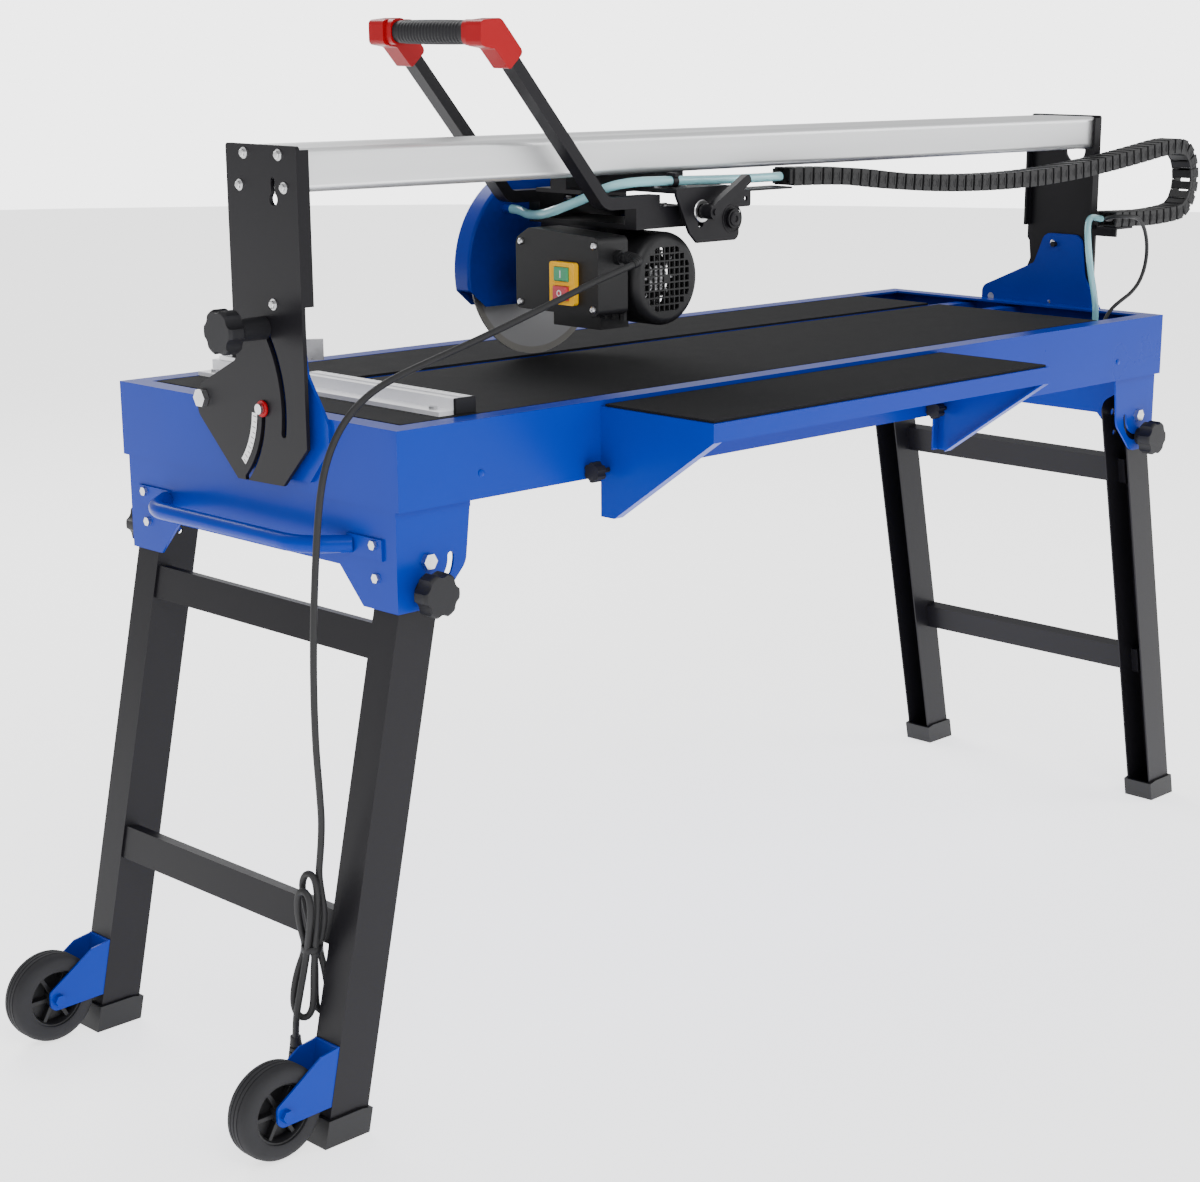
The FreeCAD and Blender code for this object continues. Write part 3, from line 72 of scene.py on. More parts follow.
# ---- materials -----------------------------------------------------------------
def material(name, colour, rough, metal=0.0, tone=0.08, tone_scale=6.0, grain=900.0, bump=0.05, depth=0.0002,
             rough_span=0.08, drawn=(1, 1, 1), coat=0.0, specular=0.5, anisotropic=0.0):
    """Paint, plastic, rubber or metal: uneven tone, uneven roughness and a fine grain."""
    made = bpy.data.materials.new(name)
    made.use_nodes = True
    tree = made.node_tree
    link = tree.links.new
    shader = tree.nodes["Principled BSDF"]
    shader.inputs["Metallic"].default_value = metal
    shader.inputs["Coat Weight"].default_value = coat
    shader.inputs["Coat Roughness"].default_value = 0.12
    shader.inputs["Specular IOR Level"].default_value = specular
    shader.inputs["Anisotropic"].default_value = anisotropic
    place = tree.nodes.new("ShaderNodeTexCoord")
    mapping = tree.nodes.new("ShaderNodeMapping")
    mapping.inputs["Scale"].default_value = drawn
    link(place.outputs["Object"], mapping.inputs["Vector"])
    broad = tree.nodes.new("ShaderNodeTexNoise")
    broad.inputs["Scale"].default_value = tone_scale
    broad.inputs["Detail"].default_value = 6.0
    link(mapping.outputs["Vector"], broad.inputs["Vector"])
    ramp = tree.nodes.new("ShaderNodeValToRGB")
    ramp.color_ramp.elements[0].position = 0.3
    ramp.color_ramp.elements[1].position = 0.7
    ramp.color_ramp.elements[0].color = [c * (1 - tone) for c in colour] + [1]
    ramp.color_ramp.elements[1].color = [min(1, c * (1 + tone)) for c in colour] + [1]
    link(broad.outputs["Fac"], ramp.inputs["Fac"])
    link(ramp.outputs["Color"], shader.inputs["Base Color"])
    fine = tree.nodes.new("ShaderNodeTexNoise")
    fine.inputs["Scale"].default_value = grain
    fine.inputs["Detail"].default_value = 3.0
    link(mapping.outputs["Vector"], fine.inputs["Vector"])
    span = tree.nodes.new("ShaderNodeMapRange")
    span.inputs["To Min"].default_value = max(0.02, rough - rough_span)
    span.inputs["To Max"].default_value = min(1.0, rough + rough_span)
    link(broad.outputs["Fac"], span.inputs["Value"])
    link(span.outputs["Result"], shader.inputs["Roughness"])
    raised = tree.nodes.new("ShaderNodeBump")
    raised.inputs["Strength"].default_value = bump
    raised.inputs["Distance"].default_value = depth
    link(fine.outputs["Fac"], raised.inputs["Height"])
    link(raised.outputs["Normal"], shader.inputs["Normal"])
    return made


def speckled(made, colour, scale, amount):
    """Adds pale specks, as in crumb rubber, over a material's colour."""
    tree = made.node_tree
    shader = tree.nodes["Principled BSDF"]
    before = shader.inputs["Base Color"].links[0].from_socket
    dots = tree.nodes.new("ShaderNodeTexVoronoi")
    dots.inputs["Scale"].default_value = scale
    cut = tree.nodes.new("ShaderNodeValToRGB")
    cut.color_ramp.elements[0].position = 0.06
    cut.color_ramp.elements[1].position = 0.22
    cut.color_ramp.elements[0].color = (amount, amount, amount, 1)
    cut.color_ramp.elements[1].color = (0, 0, 0, 1)
    mix = tree.nodes.new("ShaderNodeMix")
    mix.data_type = "RGBA"
    mix.inputs["B"].default_value = (*colour, 1)
    tree.links.new(tree.nodes["Texture Coordinate"].outputs["Object"], dots.inputs["Vector"])
    tree.links.new(dots.outputs["Distance"], cut.inputs["Fac"])
    tree.links.new(cut.outputs["Color"], mix.inputs["Factor"])
    tree.links.new(before, mix.inputs["A"])
    tree.links.new(mix.outputs["Result"], shader.inputs["Base Color"])
    return made


blue = material("blue_paint", (0.0, 0.024, 0.30), 0.30, tone=0.05, bump=0.05, grain=700, depth=0.0003,
                specular=0.14)
black = material("black_paint", (0.009, 0.0085, 0.0105), 0.36, tone=0.10, bump=0.12, grain=1600,
                 specular=0.16)
plastic = material("black_plastic", (0.008, 0.008, 0.009), 0.48, tone=0.10, bump=0.22, grain=2200,
                   depth=0.0003, specular=0.3)
matt = material("knob_plastic", (0.008, 0.008, 0.010), 0.55, tone=0.12, bump=0.3, grain=1500, depth=0.0004,
                specular=0.3)
motor_black = material("motor_paint", (0.011, 0.011, 0.012), 0.42, tone=0.12, bump=0.25, grain=1300,
                       depth=0.0003, specular=0.28)
mat_rubber = speckled(material("mat_rubber", (0.012, 0.012, 0.013), 0.82, tone=0.14, tone_scale=30, bump=0.5,
                               grain=900, depth=0.0006, specular=0.12), (0.05, 0.05, 0.055), 420, 0.35)
tyre_rubber = material("tyre_rubber", (0.024, 0.024, 0.026), 0.70, tone=0.10, tone_scale=25, bump=0.3,
                       grain=1100, depth=0.0004, specular=0.15)
cord_rubber = material("cord_rubber", (0.016, 0.016, 0.017), 0.58, tone=0.10, tone_scale=60, bump=0.2,
                       grain=1800, specular=0.3)
rail_metal = material("rail_aluminium", (0.80, 0.81, 0.82), 0.36, metal=0.75, tone=0.03, bump=0.05, grain=420,
                      depth=0.0002, drawn=(0.02, 1, 1), anisotropic=0.4, tone_scale=40)
zinc = material("zinc", (0.62, 0.62, 0.63), 0.30, metal=1.0, tone=0.10, tone_scale=90, bump=0.12, grain=1500)
steel = material("machined_steel", (0.50, 0.50, 0.52), 0.28, metal=1.0, tone=0.08, tone_scale=60, bump=0.08)
red = material("red_plastic", (0.30, 0.0, 0.004), 0.32, tone=0.06, bump=0.08, grain=1800, specular=0.18)
stop_red = material("stop_red", (0.50, 0.03, 0.05), 0.35, tone=0.05, bump=0.05)
green = material("start_green", (0.03, 0.30, 0.13), 0.35, tone=0.05, bump=0.05)
yellow = material("switch_yellow", (1.0, 0.50, 0.0), 0.35, tone=0.05, bump=0.06, specular=0.2)
white = material("white_mark", (0.78, 0.78, 0.78), 0.5, tone=0.03, bump=0.03)
ink = material("dark_mark", (0.02, 0.02, 0.02), 0.6, tone=0.05, bump=0.02)
anodised = material("fence_aluminium", (0.95, 0.95, 0.97), 0.42, metal=0.1, tone=0.04, bump=0.06, grain=500,
                    drawn=(1, 0.02, 1), tone_scale=50)
hose_wall = material("clear_hose", (0.36, 0.72, 0.78), 0.16, tone=0.06, tone_scale=30, bump=0.03, coat=0.6)
hose_shader = hose_wall.node_tree.nodes["Principled BSDF"]
hose_shader.inputs["Transmission Weight"].default_value = 0.35
hose_shader.inputs["Subsurface Weight"].default_value = 0.25
hose_shader.inputs["Subsurface Radius"].default_value = (0.004, 0.006, 0.007)
hose_shader.inputs["IOR"].default_value = 1.4


def disc_material():
    """Ground steel with fine rings, and a darker sintered rim."""
    made = material("disc_steel", (0.38, 0.38, 0.39), 0.42, metal=0.45, tone=0.05, tone_scale=40, bump=0.04)
    tree = made.node_tree
    link = tree.links.new
    shader = tree.nodes["Principled BSDF"]
    low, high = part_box("blade")
    away = tree.nodes.new("ShaderNodeVectorMath")
    away.operation = "DISTANCE"
    away.inputs[1].default_value = (low + high) / 2
    link(tree.nodes["Texture Coordinate"].outputs["Object"], away.inputs[0])
    rim = tree.nodes.new("ShaderNodeValToRGB")
    edge = (high.z - low.z) / 2
    rim.color_ramp.elements[0].color = (0.36, 0.36, 0.37, 1)
    rim.color_ramp.elements[1].color = (0.27, 0.26, 0.24, 1)
    rim.color_ramp.elements[0].position = 0.918
    rim.color_ramp.elements[1].position = 0.928
    share = tree.nodes.new("ShaderNodeMath")
    share.operation = "DIVIDE"
    share.inputs[1].default_value = edge
    link(away.outputs["Value"], share.inputs[0])
    link(share.outputs["Value"], rim.inputs["Fac"])
    link(rim.outputs["Color"], shader.inputs["Base Color"])
    rings = tree.nodes.new("ShaderNodeMath")
    rings.operation = "SINE"
    many = tree.nodes.new("ShaderNodeMath")
    many.operation = "MULTIPLY"
    many.inputs[1].default_value = 700.0
    link(share.outputs["Value"], many.inputs[0])
    link(many.outputs["Value"], rings.inputs[0])
    bump = next(n for n in tree.nodes if n.type == "BUMP")
    link(rings.outputs["Value"], bump.inputs["Height"])
    return made


disc = disc_material()

NODE_LOOKS = {
    "table_tub": blue, "leg_skirt_left": blue, "leg_skirt_right": blue, "carry_handle": blue, "side_table": blue,
    "tilt_bracket_left": blue, "tilt_bracket_right": blue, "wheel_forks": blue, "blade_guard": blue,
    "deck_panels": blue, "deck_mats": mat_rubber, "side_table_mat": mat_rubber, "water_pump": plastic,
    "fence_rail": anodised, "table_bolts": zinc, "angle_stop": zinc, "arbor": steel, "blade": disc,
    "roller_pair_left": steel, "roller_pair_right": steel, "rail": rail_metal,
    "post_plate_left": black, "post_plate_right": black, "trolley": black, "swing_arm": black,
    "handle_frame": black, "left_leg_front": black, "left_leg_back": black, "left_leg_bars": black,
    "right_leg_front": black, "right_leg_back": black, "right_leg_bars": black, "left_feet": plastic,
    "right_feet": plastic, "motor_housing": motor_black, "fan_cowl": motor_black, "terminal_box": plastic,
    "lock_lever": black, "handle_corners": red, "start_button": green, "stop_button": stop_red,
    "switch_frame": yellow,
}
KNOBS = ["side_knob_left", "side_knob_right", "tilt_knob_left", "tilt_knob_right", "leg_knob_left_front",
         "leg_knob_left_back", "leg_knob_right_front", "leg_knob_right_back", "stop_knob"]
for knob in KNOBS:
    NODE_LOOKS[knob] = matt
BEVELS = {"table_tub": 1.2, "leg_skirt_left": 0.8, "leg_skirt_right": 0.8, "side_table": 1.0, "trolley": 0.6,
          "terminal_box": 1.2, "handle_corners": 1.5, "swing_arm": 1.0, "handle_frame": 1.5, "switch_frame": 1.0,
          "left_leg_front": 1.2, "left_leg_back": 1.2, "right_leg_front": 1.2, "right_leg_back": 1.2,
          "left_leg_bars": 1.0, "right_leg_bars": 1.0, "left_feet": 1.5, "right_feet": 1.5, "fence_rail": 0.5,
          "deck_mats": 0.7, "side_table_mat": 0.7, "blade_guard": 0.8, "wheel_forks": 0.5,
          "post_plate_left": 0.8, "post_plate_right": 0.8, "tilt_bracket_left": 0.6, "tilt_bracket_right": 0.6}


def soften(obj, width_mm):
    """Small rounded edges, in millimetres, that catch the light."""
    rounding = obj.modifiers.new("edges", "BEVEL")
    rounding.width = width_mm / 1000
    rounding.segments = 2
    rounding.limit_method = "ANGLE"
    rounding.angle_limit = math.radians(40)
    rounding.harden_normals = True


for name, look in NODE_LOOKS.items():
    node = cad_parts[name]
    node.data.materials.clear()
    node.data.materials.append(look)
    if name in BEVELS:
        soften(node, BEVELS[name])


# ---- mesh helpers -----------------------------------------------------------------
def finish_mesh(bm, name, look, body=None, angle=35, bevel=0.0):
    mesh = bpy.data.meshes.new(name)
    bmesh.ops.recalc_face_normals(bm, faces=bm.faces)
    bm.to_mesh(mesh)
    bm.free()
    mesh.shade_smooth()
    mesh.set_sharp_from_angle(angle=math.radians(angle))
    obj = bpy.data.objects.new(name, mesh)
    bpy.context.scene.collection.objects.link(obj)
    mesh.materials.append(look)
    if body:
        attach(obj, body)
    if bevel:
        soften(obj, bevel)
    return obj


def turned_piece(bm, base, direction, profile, sides=24):
    """Solid of revolution: profile holds (distance along the direction, radius) in millimetres."""
    axis = Vector(direction).normalized()
    across = axis.orthogonal().normalized()
    other = axis.cross(across)
    rings = []
    for along, radius in profile:
        centre = base + axis * along / 1000
        if radius < 0.01:
            rings.append([bm.verts.new(centre)])
            continue
        rings.append([bm.verts.new(centre + (across * math.cos(2 * math.pi * k / sides)
                                             + other * math.sin(2 * math.pi * k / sides)) * radius / 1000)
                      for k in range(sides)])
    for a, b in zip(rings, rings[1:]):
        for k in range(sides):
            j = (k + 1) % sides
            if len(a) == 1:
                bm.faces.new((a[0], b[k], b[j]))
            elif len(b) == 1:
                bm.faces.new((a[k], b[0], a[j]))
            else:
                bm.faces.new((a[k], b[k], b[j], a[j]))


def hex_head(bm, base, direction, across, height):
    """Washer, chamfered hexagon head and a shallow dome."""
    edge = across * 0.8
    turned_piece(bm, base, direction, [(0, 0), (0, edge), (1.0, edge), (1.2, 0)], 20)
    turned_piece(bm, base, direction, [(1.0, 0), (1.0, across * 0.577), (height, across * 0.577),
                                       (height + 0.7, across * 0.48), (height + 0.9, 0)], 6)


def pan_head(bm, base, direction, radius):
    """Cross-recess pan head screw."""
    outline = [(0, 0), (0, 1), (0.45, 0.92), (0.75, 0.6), (0.78, 0.28), (0.45, 0.12), (0.4, 0)]
    turned_piece(bm, base, direction, [(along * radius, out * radius) for along, out in outline], 16)


def block(bm, x0, x1, y0, y1, z0, z1, round_mm=0.0):
    """Box in millimetres, with small rounded edges where asked."""
    made = bmesh.ops.create_cube(bm, size=1.0)
    size = Vector((x1 - x0, y1 - y0, z1 - z0)) / 1000
    middle = (at(x0, y0, z0) + at(x1, y1, z1)) / 2
    place = Matrix.Translation(middle) @ Matrix.Diagonal((*size, 1))
    bmesh.ops.transform(bm, matrix=place, verts=made["verts"])
    if round_mm:
        edges = {e for v in made["verts"] for e in v.link_edges}
        bmesh.ops.bevel(bm, geom=list(edges), offset=round_mm / 1000, segments=2, affect="EDGES")


def flat_ring(bm, normal_axis, offset, centre, r0, r1, start, stop, thick, steps=24):
    """Part of a flat ring: a curved strip, in millimetres and degrees."""
    rows = []
    for k in range(steps + 1):
        a = math.radians(start + (stop - start) * k / steps)
        row = []
        for radius, lift in ((r0, 0), (r1, 0), (r1, thick), (r0, thick)):
            p, q = centre[0] + radius * math.cos(a), centre[1] + radius * math.sin(a)
            out = offset + lift
            spot = {"x": (out, p, q), "y": (p, out, q), "z": (p, q, out)}[normal_axis]
            row.append(bm.verts.new(at(*spot)))
        rows.append(row)
    for a, b in zip(rows, rows[1:]):
        for k in range(4):
            j = (k + 1) % 4
            bm.faces.new((a[k], a[j], b[j], b[k]))
    bm.faces.new(rows[0])
    bm.faces.new(rows[-1][::-1])


def nurbs_line(points):
    """Points along the smooth line of a route, read from its NURBS spline."""
    curve = bpy.data.curves.new("route", "CURVE")
    curve.dimensions = "3D"
    curve.resolution_u = 16
    spline = curve.splines.new("NURBS")
    spline.points.add(len(points) - 1)
    for point, place in zip(spline.points, points):
        point.co = (*at(*place), 1)
    spline.order_u = 3
    spline.use_endpoint_u = True
    holder = bpy.data.objects.new("route", curve)
    mesh = bpy.data.meshes.new_from_object(holder)
    line = [v.co.copy() for v in mesh.vertices]
    bpy.data.meshes.remove(mesh)
    bpy.data.objects.remove(holder)
    bpy.data.curves.remove(curve)
    return line


def length_of(line):
    return sum((b - a).length for a, b in zip(line, line[1:]))


def evenly(line, count):
    """The same line as count + 1 points at equal spacing."""
    total, out, walked, i = length_of(line), [line[0]], 0.0, 0
    for k in range(1, count):
        target = total * k / count
        while walked + (line[i + 1] - line[i]).length < target:
            walked += (line[i + 1] - line[i]).length
            i += 1
        share = (target - walked) / (line[i + 1] - line[i]).length
        out.append(line[i].lerp(line[i + 1], share))
    return out + [line[-1]]


def tube(line, radius, name, look, sides=14, radii=None, bm=None):
    """Round tube along a line of points, closed at both ends."""
    keep = bm is not None
    bm = bm or bmesh.new()
    up = Vector((0, 0, 1))
    rings = []
    side = None
    for i, p in enumerate(line):
        forward = (line[min(i + 1, len(line) - 1)] - line[max(i - 1, 0)]).normalized()
        if side is None:
            side = forward.cross(up)
            if side.length < 0.1:
                side = forward.cross(Vector((1, 0, 0)))
        side = (side - forward * side.dot(forward)).normalized()
        over = forward.cross(side)
        r = radii[i] if radii else radius
        turns = [2 * math.pi * k / sides for k in range(sides)]
        rings.append([bm.verts.new(p + (side * math.cos(a) + over * math.sin(a)) * r) for a in turns])
    for a, b in zip(rings, rings[1:]):
        for k in range(sides):
            j = (k + 1) % sides
            bm.faces.new((a[k], a[j], b[j], b[k]))
    bm.faces.new(rings[0][::-1])
    bm.faces.new(rings[-1])
    return None if keep else finish_mesh(bm, name, look, angle=60)


# ---- mains lead -----------------------------------------------------------------------
CORD_D = 0.008
LEAD = [(438, 86, 953), (438, 69, 953), (425, 56, 950.5), (397, 52, 945), (350, 51, 934),
        (270, 51, 911), (170, 50, 884), (85, 50, 863), (42, 50, 852), (12, 50, 841), (-14, 50, 826),
        (-38, 50, 803), (-56, 50, 773), (-67, 50, 735), (-74, 50, 684), (-80, 50.5, 616),
        (-84, 51, 540), (-84, 52, 462), (-79, 54, 400), (-76, 56, 356), (-80, 58, 318)]
ACROSS = Vector((0.682, -0.731, 0))
BEHIND = Vector((0.731, 0.682, 0))
HANK_TOP = Vector((-80, 58, 318))
HANK = [(0, 0, 318), (-1.3, -0.5, 306), (0.5, -1, 288), (4, -2, 262), (1, 0, 238), (-5, 2.3, 217),
        (0, 5, 192), (3, 7, 164), (3.5, 8, 143), (-0.9, 8, 136.5), (-7.1, 8, 136.5), (-11.5, 8, 143),
        (-11.5, 8, 164), (-10.5, 8, 192), (-12, 7.4, 217), (-15, 9, 240), (-19, 7, 266),
        (-21.5, 3, 290), (-17.5, 0, 304), (-10.5, -4, 308), (-4.5, -7, 302), (-2, -9, 284),
        (-4, -10, 252), (-7.7, -6, 217), (-10, -8, 190), (-11, -8, 162), (-13, -7, 145),
        (-19, -6, 134.5), (-28, -5, 134), (-34.5, -4, 144), (-35, -3, 162), (-30, 0, 188),
        (-19, 2.3, 217), (-24, -1, 240), (-26, -4, 262), (-25, -7, 280), (-20.5, -10, 289),
        (-14, -13.5, 289), (-9.5, -17, 280), (-9, -18, 262), (-12, -15, 242), (-16.3, -6, 217),
        (-21, -9, 190), (-26, -13, 164), (-30, -15, 142), (-32, -12, 124), (-34.2, -4.4, 106)]


def nearest(line, place):
    return min(range(len(line)), key=lambda k: (line[k] - place).length)


def stretch(line, start, stop, step=0.004):
    """The part of a line between two places, at even spacing."""
    a, b = nearest(line, start), nearest(line, stop)
    part = line[a:b + 1]
    return evenly(part, max(8, int(length_of(part) / step)))


def cord_piece(name, line, diameter, look):
    piece = tube(line, diameter / 2, name, look)
    return piece


def lead():
    whole = evenly(nurbs_line(LEAD), 500)
    first, second, third = at(350, 51, 934), at(42, 50, 852), at(-80, 58, 318)
    near = cord_piece("lead_at_motor", stretch(whole, whole[0], first), CORD_D, cord_rubber)
    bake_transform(near)
    across = cord_piece("lead_over_deck", stretch(whole, first, second), CORD_D, cord_rubber)
    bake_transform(across)
    down = cord_piece("lead_down", stretch(whole, second, third), CORD_D, cord_rubber)
    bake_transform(down)
    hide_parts("mains_cord")

    bm = bmesh.new()
    ribs = stretch(whole, whole[0], at(416, 54, 949), 0.0012)
    radii = [0.0078 - 0.0030 * k / (len(ribs) - 1) + (0.0007 if k % 4 < 2 else 0) for k in range(len(ribs))]
    tube(ribs, 0.006, "lead_boot", plastic, radii=radii, sides=20, bm=bm)
    finish_mesh(bm, "lead_boot", plastic, "head", angle=50)


def hank_and_plug():
    places = []
    for across, behind, z in HANK:
        spot = HANK_TOP + ACROSS * across + BEHIND * behind
        places.append((spot.x, spot.y, z))
    line = nurbs_line(places)
    line = evenly(line, int(length_of(line) / 0.0035))
    bm = bmesh.new()
    down = (at(-104, 82, 24) - at(-106.5, 80, 106)).normalized()
    profile = [(-6, 4.2), (-5, 6.2), (0, 6.4)]
    for k in range(6):
        base, width = 2 + 6.0 * k, 6.6 + 0.9 * k
        profile += [(base, width), (base + 3.6, width + 0.6), (base + 4.0, width - 1.4),
                    (base + 5.6, width - 1.2)]
    profile += [(38, 13), (44, 16.5), (50, 18.3), (66, 18.6), (74, 17.6), (80, 17.8), (82, 16.8), (82, 0)]
    turned_piece(bm, at(-106.5, 80, 106), down, profile, sides=32)
    plug = finish_mesh(bm, "mains_plug_body", cord_rubber, "table", angle=40)
    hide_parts("mains_plug")
    bundle = cord_piece("lead_hank", line, CORD_D, cord_rubber)
    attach(bundle, "table")
    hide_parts("cord_hank")
    bm = bmesh.new()
    centre = HANK_TOP + ACROSS * -12
    turned_piece(bm, at(centre.x, centre.y, 213), (0, 0, 1),
                 [(0, 10.5), (0, 12.0), (1, 12.6), (7, 12.6), (8, 12.0), (8, 10.5), (0, 10.5)], sides=28)
    bmesh.ops.remove_doubles(bm, verts=bm.verts, dist=1e-6)
    finish_mesh(bm, "lead_tie", plastic, "table")


# ---- hoses and energy chain -----------------------------------------------------------------
HOSE_D, LOW_HOSE_D, CABLE_D = 0.012, 0.010, 0.006
HOSE = [(456, 311, 999), (456, 297, 999), (448, 270, 994), (429, 224, 998), (427, 186, 1009),
        (434, 147, 1024), (448, 128, 1036), (474, 114, 1041), (512, 110, 1041), (552, 110, 1040),
        (600, 109, 1039), (650, 106, 1038), (697, 104, 1038), (738, 103, 1038)]
LOW_HOSE = [(1503.5, 110, 943), (1486, 109, 946), (1464, 103, 948), (1444, 94, 943), (1430, 85, 928),
            (1423, 77, 902), (1423, 71, 868), (1430, 67, 834), (1437, 67, 804), (1438, 70, 774)]
PUMP_CABLE = [(1504, 92, 943), (1487, 92, 944), (1474, 79, 948), (1474, 61, 951), (1487, 48, 951),
              (1506, 48, 949), (1526, 49, 938), (1543, 52, 918), (1554, 56, 892), (1555, 60, 866),
              (1546, 63, 845), (1527, 65, 830), (1503, 66, 821), (1480, 67, 811), (1464, 69, 795),
              (1456, 70, 774)]
CHAIN_Y = 103
CHAIN = [(745, 1038), (850, 1037), (985, 1021), (1135, 1013), (1290, 1013), (1450, 1024), (1575, 1038),
         (1672, 1051), (1710, 1046), (1730, 1014), (1730, 978), (1710, 947), (1672, 943), (1610, 940),
         (1556, 942), (1505, 943)]
LINK = 0.0195
CHAIN_W, CHAIN_H = 0.036, 0.023


def hoses():
    top = nurbs_line(HOSE)
    top = evenly(top, int(length_of(top) / 0.004))
    upper = cord_piece("water_hose_top", top, HOSE_D, hose_wall)
    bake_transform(upper)
    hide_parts("water_hose")
    for name, points, width, look, slot in (("water_hose_low", LOW_HOSE, LOW_HOSE_D, hose_wall, "hose_clear"),
                                            ("pump_cable", PUMP_CABLE, CABLE_D, cord_rubber, "black_rubber")):
        line = nurbs_line(points)
        line = evenly(line, int(length_of(line) / 0.003))
        low = cord_piece(name, line, width, look)
        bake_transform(low)
        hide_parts("post_hoses")


def oriented(bm, centre, along, normal, size, rounding=0.0005):
    """Small block whose sides follow the chain."""
    side = Vector((0, 1, 0))
    turn = Matrix((along, side, normal)).transposed().to_4x4()
    made = bmesh.ops.create_cube(bm, size=1.0)
    bmesh.ops.transform(bm, matrix=Matrix.Translation(centre) @ turn @ Matrix.Diagonal((*size, 1)),
                        verts=made["verts"])
    edges = {e for v in made["verts"] for e in v.link_edges}
    bmesh.ops.bevel(bm, geom=list(edges), offset=rounding, segments=1, affect="EDGES")


def chain_link(bm, a, b, odd):
    along = (b - a).normalized()
    normal = along.cross(Vector((0, 1, 0))).normalized() * -1
    middle = (a + b) / 2
    long = (b - a).length
    for side in (-1, 1):
        face = Vector((0, side * (CHAIN_W / 2 - 0.0016), 0))
        oriented(bm, middle + face, along, normal, (long * 0.80, 0.0030, CHAIN_H))
        inner = Vector((0, side * (CHAIN_W / 2 - 0.0034), 0))
        oriented(bm, a + inner, along, normal, (long * 0.46, 0.0022, CHAIN_H * 0.84))
        pin = middle + Vector((0, side * (CHAIN_W / 2 - 0.0002), 0)) - along * long * 0.12
        turned_piece(bm, pin, (0, side, 0),
                     [(-0.4, 0), (-0.4, 5.6), (0.4, 5.3), (0.4, 3.9), (-0.1, 3.7), (-0.1, 0)], 14)
        rib = middle + Vector((0, side * (CHAIN_W / 2 + 0.0001), 0)) + along * long * 0.27
        oriented(bm, rib, along, normal, (0.0022, 0.0008, CHAIN_H * 0.5), 0.0002)
    for level in (-1, 1):
        bar = middle + normal * level * (CHAIN_H / 2 - 0.0013)
        oriented(bm, bar, along, normal, (long * (0.62 if odd else 0.55), CHAIN_W - 0.006, 0.0024))


def energy_chain():
    line = nurbs_line([(x, CHAIN_Y, z) for x, z in CHAIN])
    joints = evenly(line, round(length_of(line) / LINK))
    turn = nearest(joints, at(1672, CHAIN_Y, 1051))
    pieces = {"chain_upper_run": (0, turn), "chain_loop": (turn, len(joints) - 1)}
    made = {}
    for name, (first, last) in pieces.items():
        bm = bmesh.new()
        for k in range(first, last):
            chain_link(bm, joints[k], joints[k + 1], k % 2)
        made[name] = finish_mesh(bm, name, plastic, None)
    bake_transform(made["chain_upper_run"])
    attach(made["chain_loop"], "bridge")
    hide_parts("energy_chain")


# ---- wheels, grip and small parts ------------------------------------------------------------
def wheel(name, body, node):
    low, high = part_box(node)
    middle = (low + high) / 2
    half = (high.y - low.y) * 500
    radius = (high.x - low.x) * 500
    bm = bmesh.new()
    tread = [(-half + 1, 36), (-half, 38), (-half, radius - 8), (-half + 1.5, radius - 3.6),
             (-half + 5, radius - 0.9), (-7, radius - 0.1)]
    for groove in (-6, 0, 6):
        tread += [(groove - 0.9, radius), (groove - 0.6, radius - 1.0), (groove + 0.6, radius - 1.0),
                  (groove + 0.9, radius)]
    tread += [(7, radius - 0.1), (half - 5, radius - 0.9), (half - 1.5, radius - 3.6), (half, radius - 8),
              (half, 38), (half - 1, 36), (-half + 1, 36)]
    turned_piece(bm, middle, (0, 1, 0), tread, sides=72)
    bmesh.ops.remove_doubles(bm, verts=bm.verts, dist=1e-6)
    tyre = finish_mesh(bm, name + "_tyre", tyre_rubber, body, angle=40)
    bm = bmesh.new()
    rim = half - 3
    turned_piece(bm, middle, (0, 1, 0), [
        (-rim, 36.2), (-rim, 33.5), (-rim + 5, 31), (rim - 5, 31), (rim, 33.5), (rim, 36.2), (-rim, 36.2)], sides=60)
    turned_piece(bm, middle, (0, 1, 0), [
        (-half + 0.5, 4.2), (-half + 0.5, 9.5), (-half + 3, 11), (half - 3, 11), (half - 0.5, 9.5),
        (half - 0.5, 4.2), (-half + 0.5, 4.2)], sides=32)
    bmesh.ops.remove_doubles(bm, verts=bm.verts, dist=1e-6)
    web = 5.0
    turned_piece(bm, middle, (0, 1, 0), [(-web / 2, 10), (-web / 2, 31.5), (web / 2, 31.5), (web / 2, 10),
                                         (-web / 2, 10)], sides=48)
    for k in range(6):
        turn = Matrix.Rotation(math.radians(60 * k), 4, "Y")
        made = bmesh.ops.create_cube(bm, size=1.0)
        place = Matrix.Translation(middle) @ turn @ Matrix.Translation((0.021, 0, 0))
        bmesh.ops.transform(bm, matrix=place @ Matrix.Diagonal((0.024, (half - 6) / 500, 0.005, 1)),
                            verts=made["verts"])
    hub = finish_mesh(bm, name + "_hub", plastic, body, angle=40, bevel=0.5)
    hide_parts(node)
    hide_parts(node)


